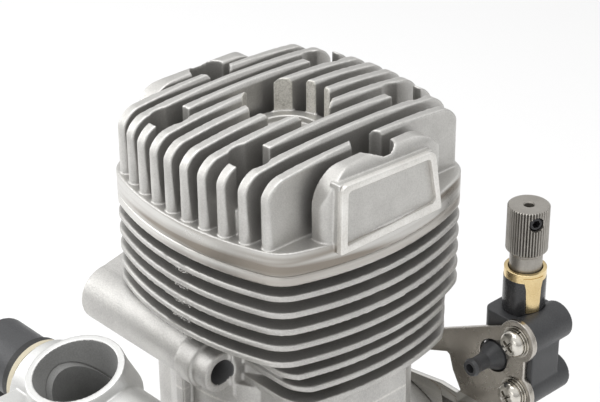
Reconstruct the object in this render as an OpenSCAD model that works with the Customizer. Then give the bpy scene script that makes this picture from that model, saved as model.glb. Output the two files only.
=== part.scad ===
// Two-stroke glow engine for a model aircraft, 26 cc.
// Origin: on the crank axis at the drive washer's front face.
// The propeller is towards -Y, the exhaust leaves towards -X, and +Z is up.

/* [Cylinder and crank train] */
// Cylinder bore
bore_d = 33.6; // [32:0.1:34]
// Piston stroke
stroke = 29.6; // [28:0.1:30]
// Connecting rod length between centres
rod_len = 48; // [48:0.5:52]
// Height from the wrist pin to the piston crown
crown_h = 14.65; // [13:0.05:16]
// Piston skirt length below the crown
piston_len = 26.4; // [24:0.1:26.5]
// Gap between crown and deck at top dead centre
squish = 0.6; // [0.4:0.1:1.5]
// Wall of the cylinder liner
liner_wall = 1.8; // [1.5:0.1:1.9]
// Length of the cylinder liner
liner_len = 43; // [38:1:46]
// Wrist pin diameter
wrist_pin_d = 8; // [7:0.5:9]
// Crank pin diameter
crank_pin_d = 9; // [8:0.5:10]
// Width of the rod's big end
rod_w = 8; // [7:0.5:9]
// Wall of the rod's bronze bushes
bush_wall = 0.8; // [0.6:0.1:1]

/* [Cylinder casting] */
// Half width of the barrel across its bulged sides
barrel_half = 28.25; // [27.8:0.05:28.4]
// Radius of the bulged sides
side_r = 58; // [50:1:70]
// Corner radius of the barrel
corner_r = 7.5; // [6:0.1:9]
// Depth of the cooling fins
fin_depth = 5; // [3.5:0.5:5]
// Thickness of a cooling fin
fin_t = 1.2; // [1.1:0.05:1.6]
// Spacing of the cooling fins
fin_pitch = 3.43; // [3.3:0.01:3.6]
// Number of cooling fins
fin_count = 8; // [6:1:8]
// Thickness of the barrel's top flange
deck_t = 2.1; // [1.8:0.1:2.4]

/* [Cylinder head] */
// Thickness of the head's flange
head_flange_t = 4.6; // [4:0.1:5.5]
// Spacing of the head fins
head_pitch = 4.4; // [4.2:0.1:4.5]
// Height of the tallest head fin
head_fin_h = 14.85; // [13:0.05:18]
// Fin thickness at its foot
head_fin_foot = 2.7; // [2.4:0.1:3]
// Fin thickness at its top
head_fin_tip = 2; // [1.6:0.1:2.2]
// Radius of the dome that trims the fins
head_dome_r = 180; // [150:5:220]
// Set-back of the fins from the flange's edge at the back
head_inset = 0.9; // [0.6:0.1:1.5]
// Set-back of the fins from the flange's edge at the front
front_inset = 0.8; // [0.6:0.1:1.5]
// Shoulder radius at both ends of each fin
shoulder_r = 4.9; // [3:0.1:6]
// Pitch circle of the head screws
head_pcd = 44; // [43.5:0.1:44.5]
// Radius of the wells over the head screws
well_r = 3.89; // [3.7:0.01:4.1]
// Radius of the plug well
plug_well_r = 8.2; // [7.8:0.1:8.6]
// Height of the plug boss above the flange
plug_boss_h = 7.95; // [7:0.05:10]
// Diameter of the glow plug's thread
plug_d = 6.35; // [6:0.05:6.5]
// Half length of the pads at the sides of the head
pad_half = 14.7; // [12:0.1:15]
// Thickness of the side pads
pad_t = 3.8; // [3.5:0.1:4.5]
// Radius of the side pads' outer edges
pad_edge_r = 2.2; // [1.5:0.1:3]

/* [Crankcase] */
// Distance from the drive washer's face to the cylinder axis
nose_len = 80; // [78:1:84]
// Inner radius of the crank chamber
chamber_r = 21; // [20.6:0.1:21.2]
// Wall of the crank chamber
case_wall = 3.6; // [3:0.1:4]
// Radius of the front housing at its tip
nose_r = 13.2; // [12.6:0.1:14]
// Radius of the front housing behind the intake
nose_root_r = 21; // [20.5:0.1:22]
// Thickness of the mounting lugs
lug_t = 6; // [5:0.5:8]
// Overall width over the mounting lugs
lug_span = 72; // [70:1:76]
// Hole spacing across the lugs
lug_hole_x = 58; // [57:0.5:60]
// Hole spacing along the lugs
lug_hole_y = 29; // [26:0.5:32]
// Diameter of the lug holes
lug_hole_d = 5.2; // [4.2:0.1:5.5]
// Width of the flat under the crankcase
foot_w = 30; // [24:1:34]
// Distance of the case's flat front from the cylinder axis
case_front = 19.8; // [19.5:0.1:20.5]
// Distance of the case's exhaust side from the cylinder axis
case_side = 21; // [20.5:0.1:22]
// Distance of the case's port side from the cylinder axis
case_port = 26.4; // [25:0.1:27]
// Distance of the case's rear edges from the cylinder axis
case_rear = 5.8; // [5:0.1:8]

/* [Exhaust] */
// Distance of the exhaust face from the cylinder axis
exhaust_reach = 30; // [29:0.5:34]
// Spacing of the muffler bolts
muffler_bolts = 49.2; // [48.5:0.1:50]
// Diameter of the muffler bolt holes
muffler_hole_d = 5; // [4.2:0.1:5]
// Radius of the duct's rounded ends
duct_end_r = 5.9; // [5.6:0.1:6.2]
// Half height of the duct at its middle
duct_mid_h = 8.4; // [8:0.1:9]
// Radius of the muffler bolt bosses
boss_r = 4.8; // [4.4:0.1:5]

/* [Shaft and bearings] */
// Shaft diameter in the rear bearing
journal_d = 17; // [16:0.5:17.5]
// Shaft diameter in the front bearing
front_journal_d = 10; // [9.5:0.5:10.5]
// Propeller seat diameter
prop_d = 8; // [7:0.1:8.5]
// Shaft length ahead of the drive washer
prop_shaft_len = 27; // [25:1:30]
// Outer diameter of the rear bearing
rear_bearing_d = 35; // [33:0.5:36]
// Width of the rear bearing
rear_bearing_w = 10; // [9:0.5:10.5]
// Outer diameter of the front bearing
front_bearing_d = 22; // [21:0.5:22.5]
// Width of the front bearing
front_bearing_w = 6; // [5:0.5:6.5]
// Diameter of the gas passage in the shaft
gas_d = 11; // [9:0.5:11.5]
// Radius of the drive washer
drive_r = 15; // [13:0.5:17]
// Thickness of the drive washer
drive_t = 6.5; // [6:0.5:7]

/* [Carburettor] */
// Bore of the air intake
intake_d = 15.6; // [14:0.2:16]
// Wall of the intake's mouth
mouth_wall = 1.3; // [1.1:0.1:1.6]
// Height of the intake's rim above the crank axis
mouth_z = 60.9; // [60:0.1:62]
// Distance of the rim's centre behind the drive washer's face
mouth_y = 28.5; // [28:0.1:29]
// Forward tilt of the carburettor
carb_tilt = 14; // [13:0.5:15]
// Radius of the throttle barrel housing
barrel_r = 8.4; // [8.2:0.1:9]
// Diameter of the throttle rotor
rotor_d = 13.8; // [13:0.1:14]
// Diameter of the air passage through the rotor
venturi_d = 10.8; // [10:0.2:11.2]
// Length of the throttle lever
lever_len = 15; // [12:0.5:18]

/* [Needle valve] */
// Thickness of the bracket plate
plate_t = 1.2; // [1:0.1:1.6]
// Distance of the needle's axis from the middle plane
needle_x = 28.8; // [28.6:0.1:29.5]
// Distance of the needle's axis behind the bracket plate
needle_back = 6; // [5.6:0.1:6.4]
// Height of the top of the needle's knob
knob_top = 72.5; // [71:0.5:75]
// Length of the knob
knob_len = 10.2; // [10:0.2:12]
// Length of the neck that shows under the knob
neck_len = 3.3; // [2:0.1:4]
// Diameter of the knob
knob_d = 8.3; // [7:0.1:9]
// Diameter of the black sleeve
sleeve_d = 8.5; // [8:0.1:9]
// Diameter of the fuel nipples' stem
nipple_d = 3.4; // [3:0.1:4]

/* [Fits] */
// Radial clearance of running fits
run_gap = 0.03; // [0.02:0.01:0.06]
// Clearance beside parts that pass each other
side_gap = 0.4; // [0.3:0.1:0.6]

/* [Hidden] */
$fn = 64;
eps = 0.01;

// Heights of the crank train at top dead centre
throw = stroke / 2;
wrist_z = throw + rod_len;
crown_z = wrist_z + crown_h;
deck_z = crown_z + squish;
head_z = deck_z + head_flange_t;
liner_r = bore_d / 2 + liner_wall;
liner_flange_r = liner_r + 1.2;
liner_flange_t = 1.4;
gasket_t = 0.3;
cyl_y = nose_len;
web_t = 11;
web_r = 19.3;
web_face = cyl_y - rod_w / 2 - side_gap;
web_back = web_face - web_t;

// Corner centre and tangent point of the barrel's outline, from its half width and radii
arc_drop = side_r - barrel_half;
corner_c = (sqrt(2 * pow(side_r - corner_r, 2) - pow(arc_drop, 2)) - arc_drop) / 2;
tangent_c = corner_c * side_r / (side_r - corner_r);

head_screw_d = 4;
head_screw_grip = 12;
first_fin = deck_z - deck_t - 0.9 * (fin_pitch - fin_t) - fin_t / 2;
fin_floor = first_fin - (fin_count - 1) * fin_pitch;
// Fins that keep the whole outline, the height under them, and the top of the case
full_fins = 5;
flat_fins_z = first_fin - (full_fins - 0.6) * fin_pitch;
case_top = fin_floor - fin_t / 2 + eps;
// Lower fins: set-back from the outline, how far their flat fronts stand before the case,
// the front corner's radius and the radius that trims the rear corners
low_inset = 0.6;
low_fin_steps = [1.8, 0.2, 0.4];
low_fin_r = 7;
low_fin_reach = 30.2;
bolt_block_x = 8.9;

exhaust_z = 51.85;
duct_half = muffler_bolts / 2 - 2.2;
boss_end = 8.2;
port_h = 9.6;

rear_bearing_y = web_back - 0.4 - rear_bearing_w;
front_bearing_y = drive_t + 3;
chamber_end = cyl_y + 15;
cover_y = chamber_end + 9;
cover_t = 5;
plate_y = cover_y + cover_t;
cover_ear_r = 4.6;
cover_screw_xy = (chamber_r + 2.33) / sqrt(2);

carb_y = mouth_y + (mouth_z - 51) * tan(carb_tilt);
carb_z = 51;
window_y = mouth_y + mouth_z * tan(carb_tilt);
intake_top = 33;
rotor_left = -13;
rotor_right = 20;

needle_y = plate_y + plate_t + needle_back;
collar_z = knob_top - knob_len - neck_len;
collar_h = 1.9;
sleeve_z = 49.6;
// Turn of the ratchet's tongue and of the knob's set screw about the needle
tongue_turn = 66;
set_screw_turn = 65;
set_screw_drop = 2.5;
set_screw_d = 2.7;
upper_screw = [33.5, 46.6];
lower_screw = [33.6, 34.8];
nipple_xz = [27.8, 40.7];
ear_r = 4.4;
washer_t = 0.7;
screw_boss_r = 3.9;
screw_boss_len = 11.2;

// Half length of the barrel's outline at distance x from its middle plane
function reach(x) = abs(x) <= tangent_c
  ? sqrt(pow(side_r, 2) - pow(x, 2)) - arc_drop
  : corner_c + sqrt(max(0, pow(corner_r, 2) - pow(abs(x) - corner_c, 2)));

// Places of the six head screws, at 0, 60 ... 300 degrees
screw_places = [for (a = [0:60:300]) [head_pcd / 2 * cos(a), cyl_y + head_pcd / 2 * sin(a)]];

module at_screws() {
  for (p = screw_places) translate([p[0], p[1], 0]) children();
}

// Turns a solid that was drawn along Z so that it runs along +Y from y = 0
module along_y(y = 0) {
  translate([0, y, 0]) rotate([-90, 0, 0]) children();
}

// Turns a solid that was drawn along Z so that it runs along +X from x = 0
module along_x(x = 0) {
  translate([x, 0, 0]) rotate([0, 90, 0]) children();
}

module ring(outer, inner, h) {
  difference() {
    cylinder(r = outer, h = h);
    translate([0, 0, -1]) cylinder(r = inner, h = h + 2);
  }
}

// Outline of the barrel: two pairs of wide arcs and four corner arcs
module barrel_outline(inset = 0) {
  for (turn = [0, 90]) rotate(turn) intersection() {
    for_pair() circle(r = side_r - inset, $fn = 128);
    square([2 * tangent_c * (side_r - inset) / side_r, 2 * barrel_half], center = true);
  }
  for (sx = [-1, 1], sy = [-1, 1])
    translate([sx * corner_c, sy * corner_c]) circle(r = corner_r - inset);
}

module for_pair() {
  intersection() {
    translate([0, -arc_drop]) children();
    translate([0, arc_drop]) children();
  }
}

module barrel_prism(z0, z1, inset = 0) {
  translate([0, cyl_y, z0]) linear_extrude(z1 - z0) barrel_outline(inset);
}

// Side view of the exhaust duct, Y to the right and Z up
module duct_profile() {
  rise = duct_mid_h - duct_end_r;
  flat = duct_half * 0.5;
  for (s = [-1, 1]) translate([s * duct_half, 0]) circle(r = duct_end_r);
  polygon([
    [-duct_half, -duct_end_r], [-flat, -duct_end_r - rise], [flat, -duct_end_r - rise],
    [duct_half, -duct_end_r], [duct_half, duct_end_r], [flat, duct_end_r + rise],
    [-flat, duct_end_r + rise], [-duct_half, duct_end_r]
  ]);
}

module exhaust_duct() {
  translate([-exhaust_reach, cyl_y, exhaust_z]) rotate([90, 0, 90])
    linear_extrude(exhaust_reach + 0.9) duct_profile();
  for (s = [-1, 1]) translate([0, cyl_y + s * muffler_bolts / 2, exhaust_z]) {
    along_x(0) cylinder(r = boss_r, h = 4.4);
    along_x(4.3) cylinder(r = boss_r - 0.7, h = boss_end - 4.3);
  }
}

module exhaust_cuts() {
  translate([-exhaust_reach - 1, cyl_y - 10.5, exhaust_z - port_h / 2])
    cube([exhaust_reach - bore_d / 2 + 4, 21, port_h]);
  for (s = [-1, 1]) translate([0, cyl_y + s * 10.5, exhaust_z])
    along_x(-exhaust_reach - 1) cylinder(r = port_h / 2, h = 12);
  for (s = [-1, 1]) translate([0, cyl_y + s * muffler_bolts / 2, exhaust_z])
    along_x(-exhaust_reach - 1) cylinder(d = muffler_hole_d, h = exhaust_reach + boss_end + 2);
}

// Front housing, turned about the crank axis
module nose_housing() {
  along_y(front_bearing_y - 1.5) rotate_extrude() polygon([
    [0, 0], [nose_r - 1, 0], [nose_r, 1], [nose_r, 12], [nose_r - 0.8, 15],
    [nose_r + 0.4, 24], [nose_root_r - 4, 36], [nose_root_r, 42],
    [nose_root_r, rear_bearing_y + rear_bearing_w + 4], [0, rear_bearing_y + rear_bearing_w + 4]
  ]);
}

module intake_boss(r, z0, z1) {
  translate([0, mouth_y, mouth_z]) rotate([carb_tilt, 0, 0])
    translate([0, 0, z0 - mouth_z]) cylinder(r = r, h = z1 - z0);
}

module lugs() {
  lug_len = lug_hole_y + 13;
  translate([-lug_span / 2, cyl_y - lug_len / 2, 0]) cube([lug_span, lug_len, lug_t]);
  // Gussets above the lugs
  for (s = [-1, 1], g = [-1, 0, 1])
    translate([s * 17, cyl_y + g * (lug_hole_y - lug_hole_d - 4) / 3 + 1, 0]) rotate([90, 0, 0])
      linear_extrude(2)
        polygon([[0, 0], [s * 17, 0], [s * 17, lug_t], [s * 5, 22], [0, 22]]);
}

module crankcase() {
  color("silver") difference() {
    union() {
      // Barrel core and top flange
      barrel_prism(flat_fins_z, deck_z, fin_depth);
      barrel_prism(deck_z - deck_t, deck_z);
      difference() {
        barrel_prism(case_top, flat_fins_z + eps, fin_depth);
        translate([bolt_block_x, 0, 0]) cube([40, cyl_y - 8, 80]);
      }
      translate([0, cyl_y, case_top]) cylinder(r = liner_r + 2.8, h = flat_fins_z - case_top + eps);
      // Cooling fins; the lowest ones are cut flat behind the front bolt
      for (i = [0:fin_count - 1])
        translate([0, cyl_y, first_fin - i * fin_pitch - fin_t / 2]) linear_extrude(fin_t)
          if (i < full_fins) barrel_outline();
          else low_fin_outline(case_front + low_fin_steps[i - full_fins]);
      // Block behind the front bolt boss, and the shallow gap between the first two low fins
      translate([-case_side, cyl_y - case_front - 2.8, exhaust_z - 6])
        cube([case_side + bolt_block_x, 10, flat_fins_z - exhaust_z + 6]);
      translate([0, cyl_y - case_front + 0.4, first_fin - (full_fins + 1) * fin_pitch])
        cube([19, 6, fin_pitch]);
      // Posts between the fins for the head screws
      at_screws() translate([0, 0, deck_z - head_screw_grip - 1])
        cylinder(d = head_screw_d + 1.8, h = head_screw_grip);
      // Case under the fins, stepping down to the crank chamber
      under_case(12, case_top);
      along_y(web_back - 2) cylinder(r = chamber_r + case_wall, h = cover_y - web_back + 2);
      nose_housing();
      // Webs under the bolt bosses
      for (s = [-1, 1]) translate([-4, cyl_y + s * (muffler_bolts / 2 - 0.4) - 2, 12])
        cube([2.5, 4, exhaust_z - 12]);
      intake_boss(11.2, 8, intake_top);
      exhaust_duct();
      lugs();
      // Cover screw pads and the foot
      for (sx = [-1, 1], sz = [-1, 1])
        translate([sx * cover_screw_xy, cover_y - 16, sz * cover_screw_xy])
          along_y() cylinder(r = cover_ear_r, h = 16);
      translate([-foot_w / 2, web_back - 2, -chamber_r - case_wall - 1])
        cube([foot_w, cover_y - web_back + 2, 8]);
    }
    // Cylinder bore, liner seat and gasket recess
    translate([0, cyl_y, 0]) cylinder(r = liner_r, h = deck_z + 1);
    translate([0, cyl_y, deck_z - gasket_t - liner_flange_t])
      cylinder(r = liner_flange_r, h = 5);
    // Flat face for the cover's gasket
    translate([-40, cover_y, -40]) cube([80, 10, 40.3 + chamber_r + case_wall]);
    // Crank chamber, bearing seats and shaft bore
    along_y(web_back - 0.4) cylinder(r = chamber_r, h = cover_y);
    // Relief for the rod's big end at bottom dead centre
    along_y(cyl_y - rod_w / 2 - side_gap)
      cylinder(r = throw + big_eye_r + side_gap, h = rod_w + 2 * side_gap);
    along_y(rear_bearing_y) cylinder(d = rear_bearing_d, h = rear_bearing_w + 2);
    along_y(front_bearing_y - 5) cylinder(d = front_bearing_d, h = front_bearing_w + 5);
    along_y(0) cylinder(d = journal_d + 4 * run_gap, h = rear_bearing_y + 1);
    // Transfer passages
    transfer_passages();
    exhaust_cuts();
    intake_boss(7.5, 4, intake_top + 1);
    at_screws() translate([0, 0, deck_z - head_screw_grip]) cylinder(d = head_screw_d, h = 20);
    for (sx = [-1, 1], sy = [-1, 1])
      translate([sx * lug_hole_x / 2, cyl_y + sy * lug_hole_y / 2, -1])
        cylinder(d = lug_hole_d, h = lug_t + 2);
    for (sx = [-1, 1], sz = [-1, 1])
      translate([sx * cover_screw_xy, 0, sz * cover_screw_xy])
        along_y(cover_y - 11) cylinder(d = 3.5, h = 20);
    for (s = [-1, 1]) carb_screw_hole(s, 2.5);
  }
}

// Outline of a fin behind the front bolt: flat in front with a round corner, trimmed behind
module low_fin_outline(front) {
  intersection() {
    barrel_outline(low_inset);
    union() {
      translate([-40, -front]) square([40 + case_port - low_fin_r, front]);
      translate([-40, low_fin_r - front]) square([80, front - low_fin_r]);
      translate([case_port - low_fin_r, low_fin_r - front]) circle(r = low_fin_r);
      intersection() {
        circle(r = low_fin_reach);
        translate([-40, -eps]) square([80, 40]);
      }
    }
  }
}

// Case below the fins: flat in front and at both sides, round behind, with a bulge for the
// front passage
module under_case(z0, z1) {
  corner = 5.8;
  translate([0, cyl_y, z0]) linear_extrude(z1 - z0) {
    circle(r = chamber_r + 3);
    intersection() {
      barrel_outline(low_inset);
      union() {
        translate([corner - case_side, -case_front])
          square([case_side + case_port - corner, case_front + case_rear]);
        translate([-case_side, corner - case_front])
          square([case_side, case_front + case_rear - corner]);
        translate([corner - case_side, corner - case_front]) circle(r = corner);
      }
    }
    polygon([
      [-9.2, 2 - case_front], [-7.6, -case_front - 2.2], [7.6, -case_front - 2.2],
      [9.2, 2 - case_front]
    ]);
  }
}

// Three passages beside the liner, open to the crank chamber
module transfer_passages() {
  translate([0, cyl_y, 8]) intersection() {
    cylinder(r = chamber_r + 0.3, h = exhaust_z - 1);
    for (a = [0, 90, -90]) rotate(a) translate([0, -6, 0]) cube([40, 12, 80]);
  }
}

module carb_screw_hole(s, d) {
  translate([0, mouth_y + (mouth_z - 29) * tan(carb_tilt), 29]) rotate([carb_tilt, 0, 0])
    along_x(s > 0 ? 6 : -14) cylinder(d = d, h = 8);
}

module cylinder_liner() {
  top = deck_z - gasket_t;
  color("lightgray") translate([0, cyl_y, 0]) difference() {
    union() {
      translate([0, 0, top - liner_len]) cylinder(r = liner_r, h = liner_len);
      translate([0, 0, top - liner_flange_t]) cylinder(r = liner_flange_r, h = liner_flange_t);
    }
    translate([0, 0, top - liner_len - 1]) cylinder(d = bore_d, h = liner_len + 2);
    // Exhaust window, then the transfer windows
    translate([-40, -10, exhaust_z - port_h / 2 + 0.4]) cube([40, 20, port_h - 0.8]);
    for (a = [0, 90, -90]) rotate(a)
      translate([0, -5.5, exhaust_z - port_h / 2]) cube([40, 11, 7]);
  }
}

// One head fin: its side view with round shoulders and domed top, with draft on both faces
module head_fin(x, outline, foot = head_fin_foot, tip = head_fin_tip, top = head_fin_h) {
  tall = top - pow(x, 2) / (2 * head_dome_r);
  half_len = outline - (front_inset + head_inset) / 2;
  shoulder_z = tall - pow(half_len - shoulder_r, 2) / (2 * head_dome_r) - shoulder_r;
  translate([x, cyl_y + (front_inset - head_inset) / 2, head_z - eps]) intersection() {
    rotate([90, 0, 90]) translate([0, 0, -foot]) linear_extrude(2 * foot) intersection() {
      translate([0, tall - head_dome_r]) circle(r = head_dome_r, $fn = 256);
      union() {
        translate([-half_len, 0]) square([2 * half_len, shoulder_z]);
        translate([shoulder_r - half_len, 0]) square([2 * (half_len - shoulder_r), tall + 1]);
        for (s = [-1, 1]) translate([s * (half_len - shoulder_r), shoulder_z])
          circle(r = shoulder_r);
      }
    }
    rotate([90, 0, 0]) translate([0, 0, -half_len - 1]) linear_extrude(2 * half_len + 2)
      polygon([
        [-foot / 2, 0], [foot / 2, 0], [tip / 2 + 0.1, tall * 0.5], [tip / 2, tall - 0.8],
        [tip / 2 - 0.5, tall], [0.5 - tip / 2, tall], [-tip / 2, tall - 0.8],
        [-tip / 2 - 0.1, tall * 0.5]
      ]);
    union() {
      translate([-foot / 2, foot / 2 - half_len, 0]) cube([foot, 2 * half_len - foot, 40]);
      for (s = [-1, 1]) translate([0, s * (half_len - foot / 2), 0]) cylinder(d = foot, h = 40);
    }
  }
}

// Thick fin at one side of the head, round at its ends and along its outer edges
module head_side_pad(side) {
  x = side * (head_pitch * 5.5 + 0.3);
  tall = head_fin_h - pow(x, 2) / (2 * head_dome_r);
  end_r = 7;
  end_z = tall - pow(pad_half - end_r, 2) / (2 * head_dome_r) - end_r;
  translate([x, cyl_y - 0.6, head_z - eps]) intersection() {
    rotate([90, 0, 90]) translate([0, 0, -pad_t / 2]) linear_extrude(pad_t) intersection() {
      translate([0, tall - head_dome_r]) circle(r = head_dome_r, $fn = 256);
      union() {
        translate([-pad_half, 0]) square([2 * pad_half, end_z]);
        translate([end_r - pad_half, 0]) square([2 * (pad_half - end_r), 20]);
        for (s = [-1, 1]) translate([s * (pad_half - end_r), end_z]) circle(r = end_r);
      }
    }
    rotate([90, 0, 0]) translate([0, 0, -pad_half - 1]) linear_extrude(2 * pad_half + 2)
      scale([side, 1]) {
        translate([-pad_t / 2, 0]) square([pad_t, tall - pad_edge_r]);
        translate([0.8 - pad_t / 2, 0]) square([pad_t - 0.8 - pad_edge_r, tall]);
        translate([pad_t / 2 - pad_edge_r, tall - pad_edge_r]) circle(r = pad_edge_r);
        translate([0.8 - pad_t / 2, tall - 0.8]) circle(r = 0.8);
      }
    linear_extrude(20) scale([side, 1]) {
      translate([-pad_t, -20]) square([1.5 * pad_t - pad_edge_r, 40]);
      translate([-pad_t, pad_edge_r - pad_half])
        square([1.5 * pad_t, 2 * (pad_half - pad_edge_r)]);
      for (s = [-1, 1]) translate([pad_t / 2 - pad_edge_r, s * (pad_half - pad_edge_r)])
        circle(r = pad_edge_r);
    }
  }
}

// Raised frame on the port side: a slanted four-cornered rim round a bare, sunk field
module side_frame() {
  outer = [[-13.7, -1.7], [11.8, -1.8], [9.7, 10.6], [-13.4, 11.6]];
  inner = [[-12.1, -0.4], [10.5, 0], [8.6, 9.7], [-11.9, 10.4]];
  translate([0, cyl_y, head_z]) rotate([90, 0, 90]) {
    translate([0, 0, 25.4]) linear_extrude(2.4) polygon(outer);
    translate([0, 0, 27.7]) linear_extrude(0.9) difference() {
      polygon(outer);
      polygon(inner);
    }
  }
}

module cylinder_head() {
  color("silver") difference() {
    union() {
      barrel_prism(deck_z, head_z);
      for (i = [-4.5:1:4.5])
        head_fin(i * head_pitch, reach(i * head_pitch));
      for (side = [-1, 1]) head_side_pad(side);
      side_frame();
      translate([0, cyl_y, head_z - eps]) cylinder(r = plug_well_r + 0.4, h = plug_boss_h);
      // Short walls round the screw wells
      at_screws() translate([0, 0, head_z - eps]) cylinder(r = well_r + 0.9, h = head_screw_d + 0.8);
    }
    // Plug well, counterbore and plug hole
    translate([0, cyl_y, head_z + plug_boss_h]) cylinder(r = plug_well_r, h = 20);
    translate([0, cyl_y, head_z + plug_boss_h - 1.2]) cylinder(r = 6, h = 20);
    translate([0, cyl_y, deck_z - 1]) cylinder(d = plug_d, h = 40);
    // Combustion chamber
    translate([0, cyl_y, deck_z]) intersection() {
      translate([0, 0, -9]) sphere(r = 16.2);
      translate([0, 0, -1]) cylinder(r = 14, h = 12);
    }
    at_screws() {
      translate([0, 0, head_z - eps]) cylinder(r = well_r, h = 40);
      translate([0, 0, deck_z - 1]) cylinder(d = head_screw_d + 0.4, h = 20);
    }
  }
}

module head_gasket() {
  color("peru") translate([0, cyl_y, deck_z - gasket_t])
    ring(liner_flange_r, bore_d / 2 + 0.1, gasket_t);
}

// Socket cap screw with its head's seat at z = 0 and its shank below
module cap_screw(d, grip, head_d = 0) {
  hd = head_d > 0 ? head_d : 1.75 * d;
  difference() {
    union() {
      translate([0, 0, -grip]) cylinder(d = d, h = grip + eps);
      cylinder(d = hd, h = d);
    }
    translate([0, 0, d * 0.45]) cylinder(d = d * 0.86, h = d, $fn = 6);
  }
}

// Pan head screw with a cross recess
module pan_screw(d, grip) {
  difference() {
    union() {
      translate([0, 0, -grip]) cylinder(d = d, h = grip + eps);
      intersection() {
        cylinder(d = 1.83 * d, h = 0.75 * d);
        translate([0, 0, -1.15 * d]) sphere(r = 1.75 * d);
      }
    }
    for (a = [45, 135]) rotate(a) translate([-0.5 * d, -0.12 * d, 0.28 * d])
      cube([d, 0.24 * d, d]);
  }
}

module head_screws() {
  color("dimgray") at_screws() translate([0, 0, head_z])
    cap_screw(head_screw_d, head_flange_t + head_screw_grip - 1, 7);
}

module piston() {
  r = bore_d / 2 - run_gap - 0.01;
  color("gainsboro") translate([0, cyl_y, 0]) difference() {
    translate([0, 0, crown_z - piston_len]) cylinder(r = r, h = piston_len);
    // Hollow skirt with two pin bosses left standing
    difference() {
      translate([0, 0, crown_z - piston_len - 1]) cylinder(r = r - 2, h = piston_len - 3);
      for (s = [-1, 1]) translate([0, s * (rod_w / 2 + side_gap + 6), wrist_z])
        rotate([90, 0, 0]) cylinder(r = wrist_pin_d / 2 + 3, h = 12, center = true);
      translate([-8, -20, wrist_z]) cube([16, 20 - rod_w / 2 - side_gap, 12]);
      translate([-8, rod_w / 2 + side_gap, wrist_z]) cube([16, 12, 12]);
    }
    translate([0, 0, wrist_z]) rotate([90, 0, 0])
      cylinder(d = wrist_pin_d, h = 60, center = true);
    // Ring groove
    translate([0, 0, crown_z - 4.2]) ring(r + 1, r - 1.3, 1.2);
  }
}

module piston_ring() {
  color("darkgray") translate([0, cyl_y, crown_z - 4.2])
    difference() {
      ring(bore_d / 2 - run_gap, bore_d / 2 - run_gap - 1.2, 1.2);
      translate([-0.3, 0, -1]) cube([0.6, 40, 4]);
    }
}

module wrist_pin() {
  color("lightgray") translate([0, cyl_y - 14, wrist_z]) rotate([-90, 0, 0])
    ring(wrist_pin_d / 2, wrist_pin_d / 2 - 1.8, 28);
}

module wrist_pin_clips() {
  color("dimgray") for (s = [-1, 1]) translate([0, cyl_y + s * 14.35, wrist_z])
    rotate([90, 0, 0]) translate([0, 0, -0.35]) difference() {
      ring(wrist_pin_d / 2, wrist_pin_d / 2 - 0.9, 0.7);
      translate([-1, -10, -1]) cube([2, 10, 3]);
    }
}

small_eye_r = wrist_pin_d / 2 + bush_wall + 2;
big_eye_r = crank_pin_d / 2 + bush_wall + 2;

module connecting_rod() {
  color("silver") translate([0, cyl_y + rod_w / 2, 0]) rotate([90, 0, 0]) difference() {
    union() {
      translate([0, throw]) cylinder(r = big_eye_r, h = rod_w);
      translate([0, wrist_z]) cylinder(r = small_eye_r, h = rod_w);
      translate([0, 0, rod_w / 2 - 2.4]) linear_extrude(4.8)
        polygon([[-5, throw], [5, throw], [3.6, wrist_z], [-3.6, wrist_z]]);
    }
    translate([0, throw, -1]) cylinder(d = crank_pin_d + 2 * bush_wall, h = rod_w + 2);
    translate([0, wrist_z, -1]) cylinder(d = wrist_pin_d + 2 * bush_wall, h = rod_w + 2);
    // Flutes on both faces
    for (z = [rod_w / 2 + 1.3, rod_w / 2 - 5.3]) translate([0, 0, z]) linear_extrude(4)
      polygon([[-2.6, throw + 11], [2.6, throw + 11], [1.8, wrist_z - 10], [-1.8, wrist_z - 10]]);
  }
}

module small_end_bush() {
  color("goldenrod") translate([0, cyl_y - rod_w / 2, wrist_z]) rotate([-90, 0, 0])
    ring(wrist_pin_d / 2 + bush_wall, wrist_pin_d / 2, rod_w);
}

module big_end_bush() {
  color("goldenrod") translate([0, cyl_y - rod_w / 2, throw]) rotate([-90, 0, 0])
    ring(crank_pin_d / 2 + bush_wall, crank_pin_d / 2, rod_w);
}

module crank_pin() {
  color("lightgray") translate([0, web_face + side_gap - 0.1, throw]) rotate([-90, 0, 0])
    ring(crank_pin_d / 2, 2, rod_w + 0.9);
}

module crankshaft() {
  color("darkgray") difference() {
    union() {
      along_y(-prop_shaft_len) cylinder(d = prop_d - 0.4, h = prop_shaft_len - 12 + eps);
      along_y(-12) cylinder(d = prop_d, h = 12 + eps);
      along_y(0) cylinder(d = front_journal_d, h = front_bearing_y + front_bearing_w + 1);
      along_y(front_bearing_y + front_bearing_w + 0.5)
        cylinder(d = journal_d, h = web_back - front_bearing_y - front_bearing_w);
      // Web with its counterweight
      along_y(web_back) cylinder(r = web_r, h = web_t);
    }
    for (s = [-1, 1]) translate([s * 19, web_back + web_t / 2, 15]) rotate([0, s * 18, 0])
      cube([16, web_t + 2, 30], center = true);
    // Socket for the pressed crank pin
    translate([0, web_face - 6, throw]) rotate([-90, 0, 0]) cylinder(r = crank_pin_d / 2, h = 8);
    // Gas passage and intake window
    along_y(window_y - 8) cylinder(d = gas_d, h = web_face);
    translate([-5.5, window_y - 6.5, 0]) cube([11, 13, 12]);
  }
}

// Ball bearing pieces, drawn along Z from z = 0
module race_outer(od, id, w, ball) {
  mid = (od + id) / 4;
  difference() {
    ring(od / 2, mid + ball * 0.28, w);
    translate([0, 0, w / 2]) rotate_extrude() translate([mid, 0]) circle(r = ball / 2 + 0.05);
  }
}

module race_inner(od, id, w, ball) {
  mid = (od + id) / 4;
  difference() {
    ring(mid - ball * 0.28, id / 2, w);
    translate([0, 0, w / 2]) rotate_extrude() translate([mid, 0]) circle(r = ball / 2 + 0.05);
  }
}

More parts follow.
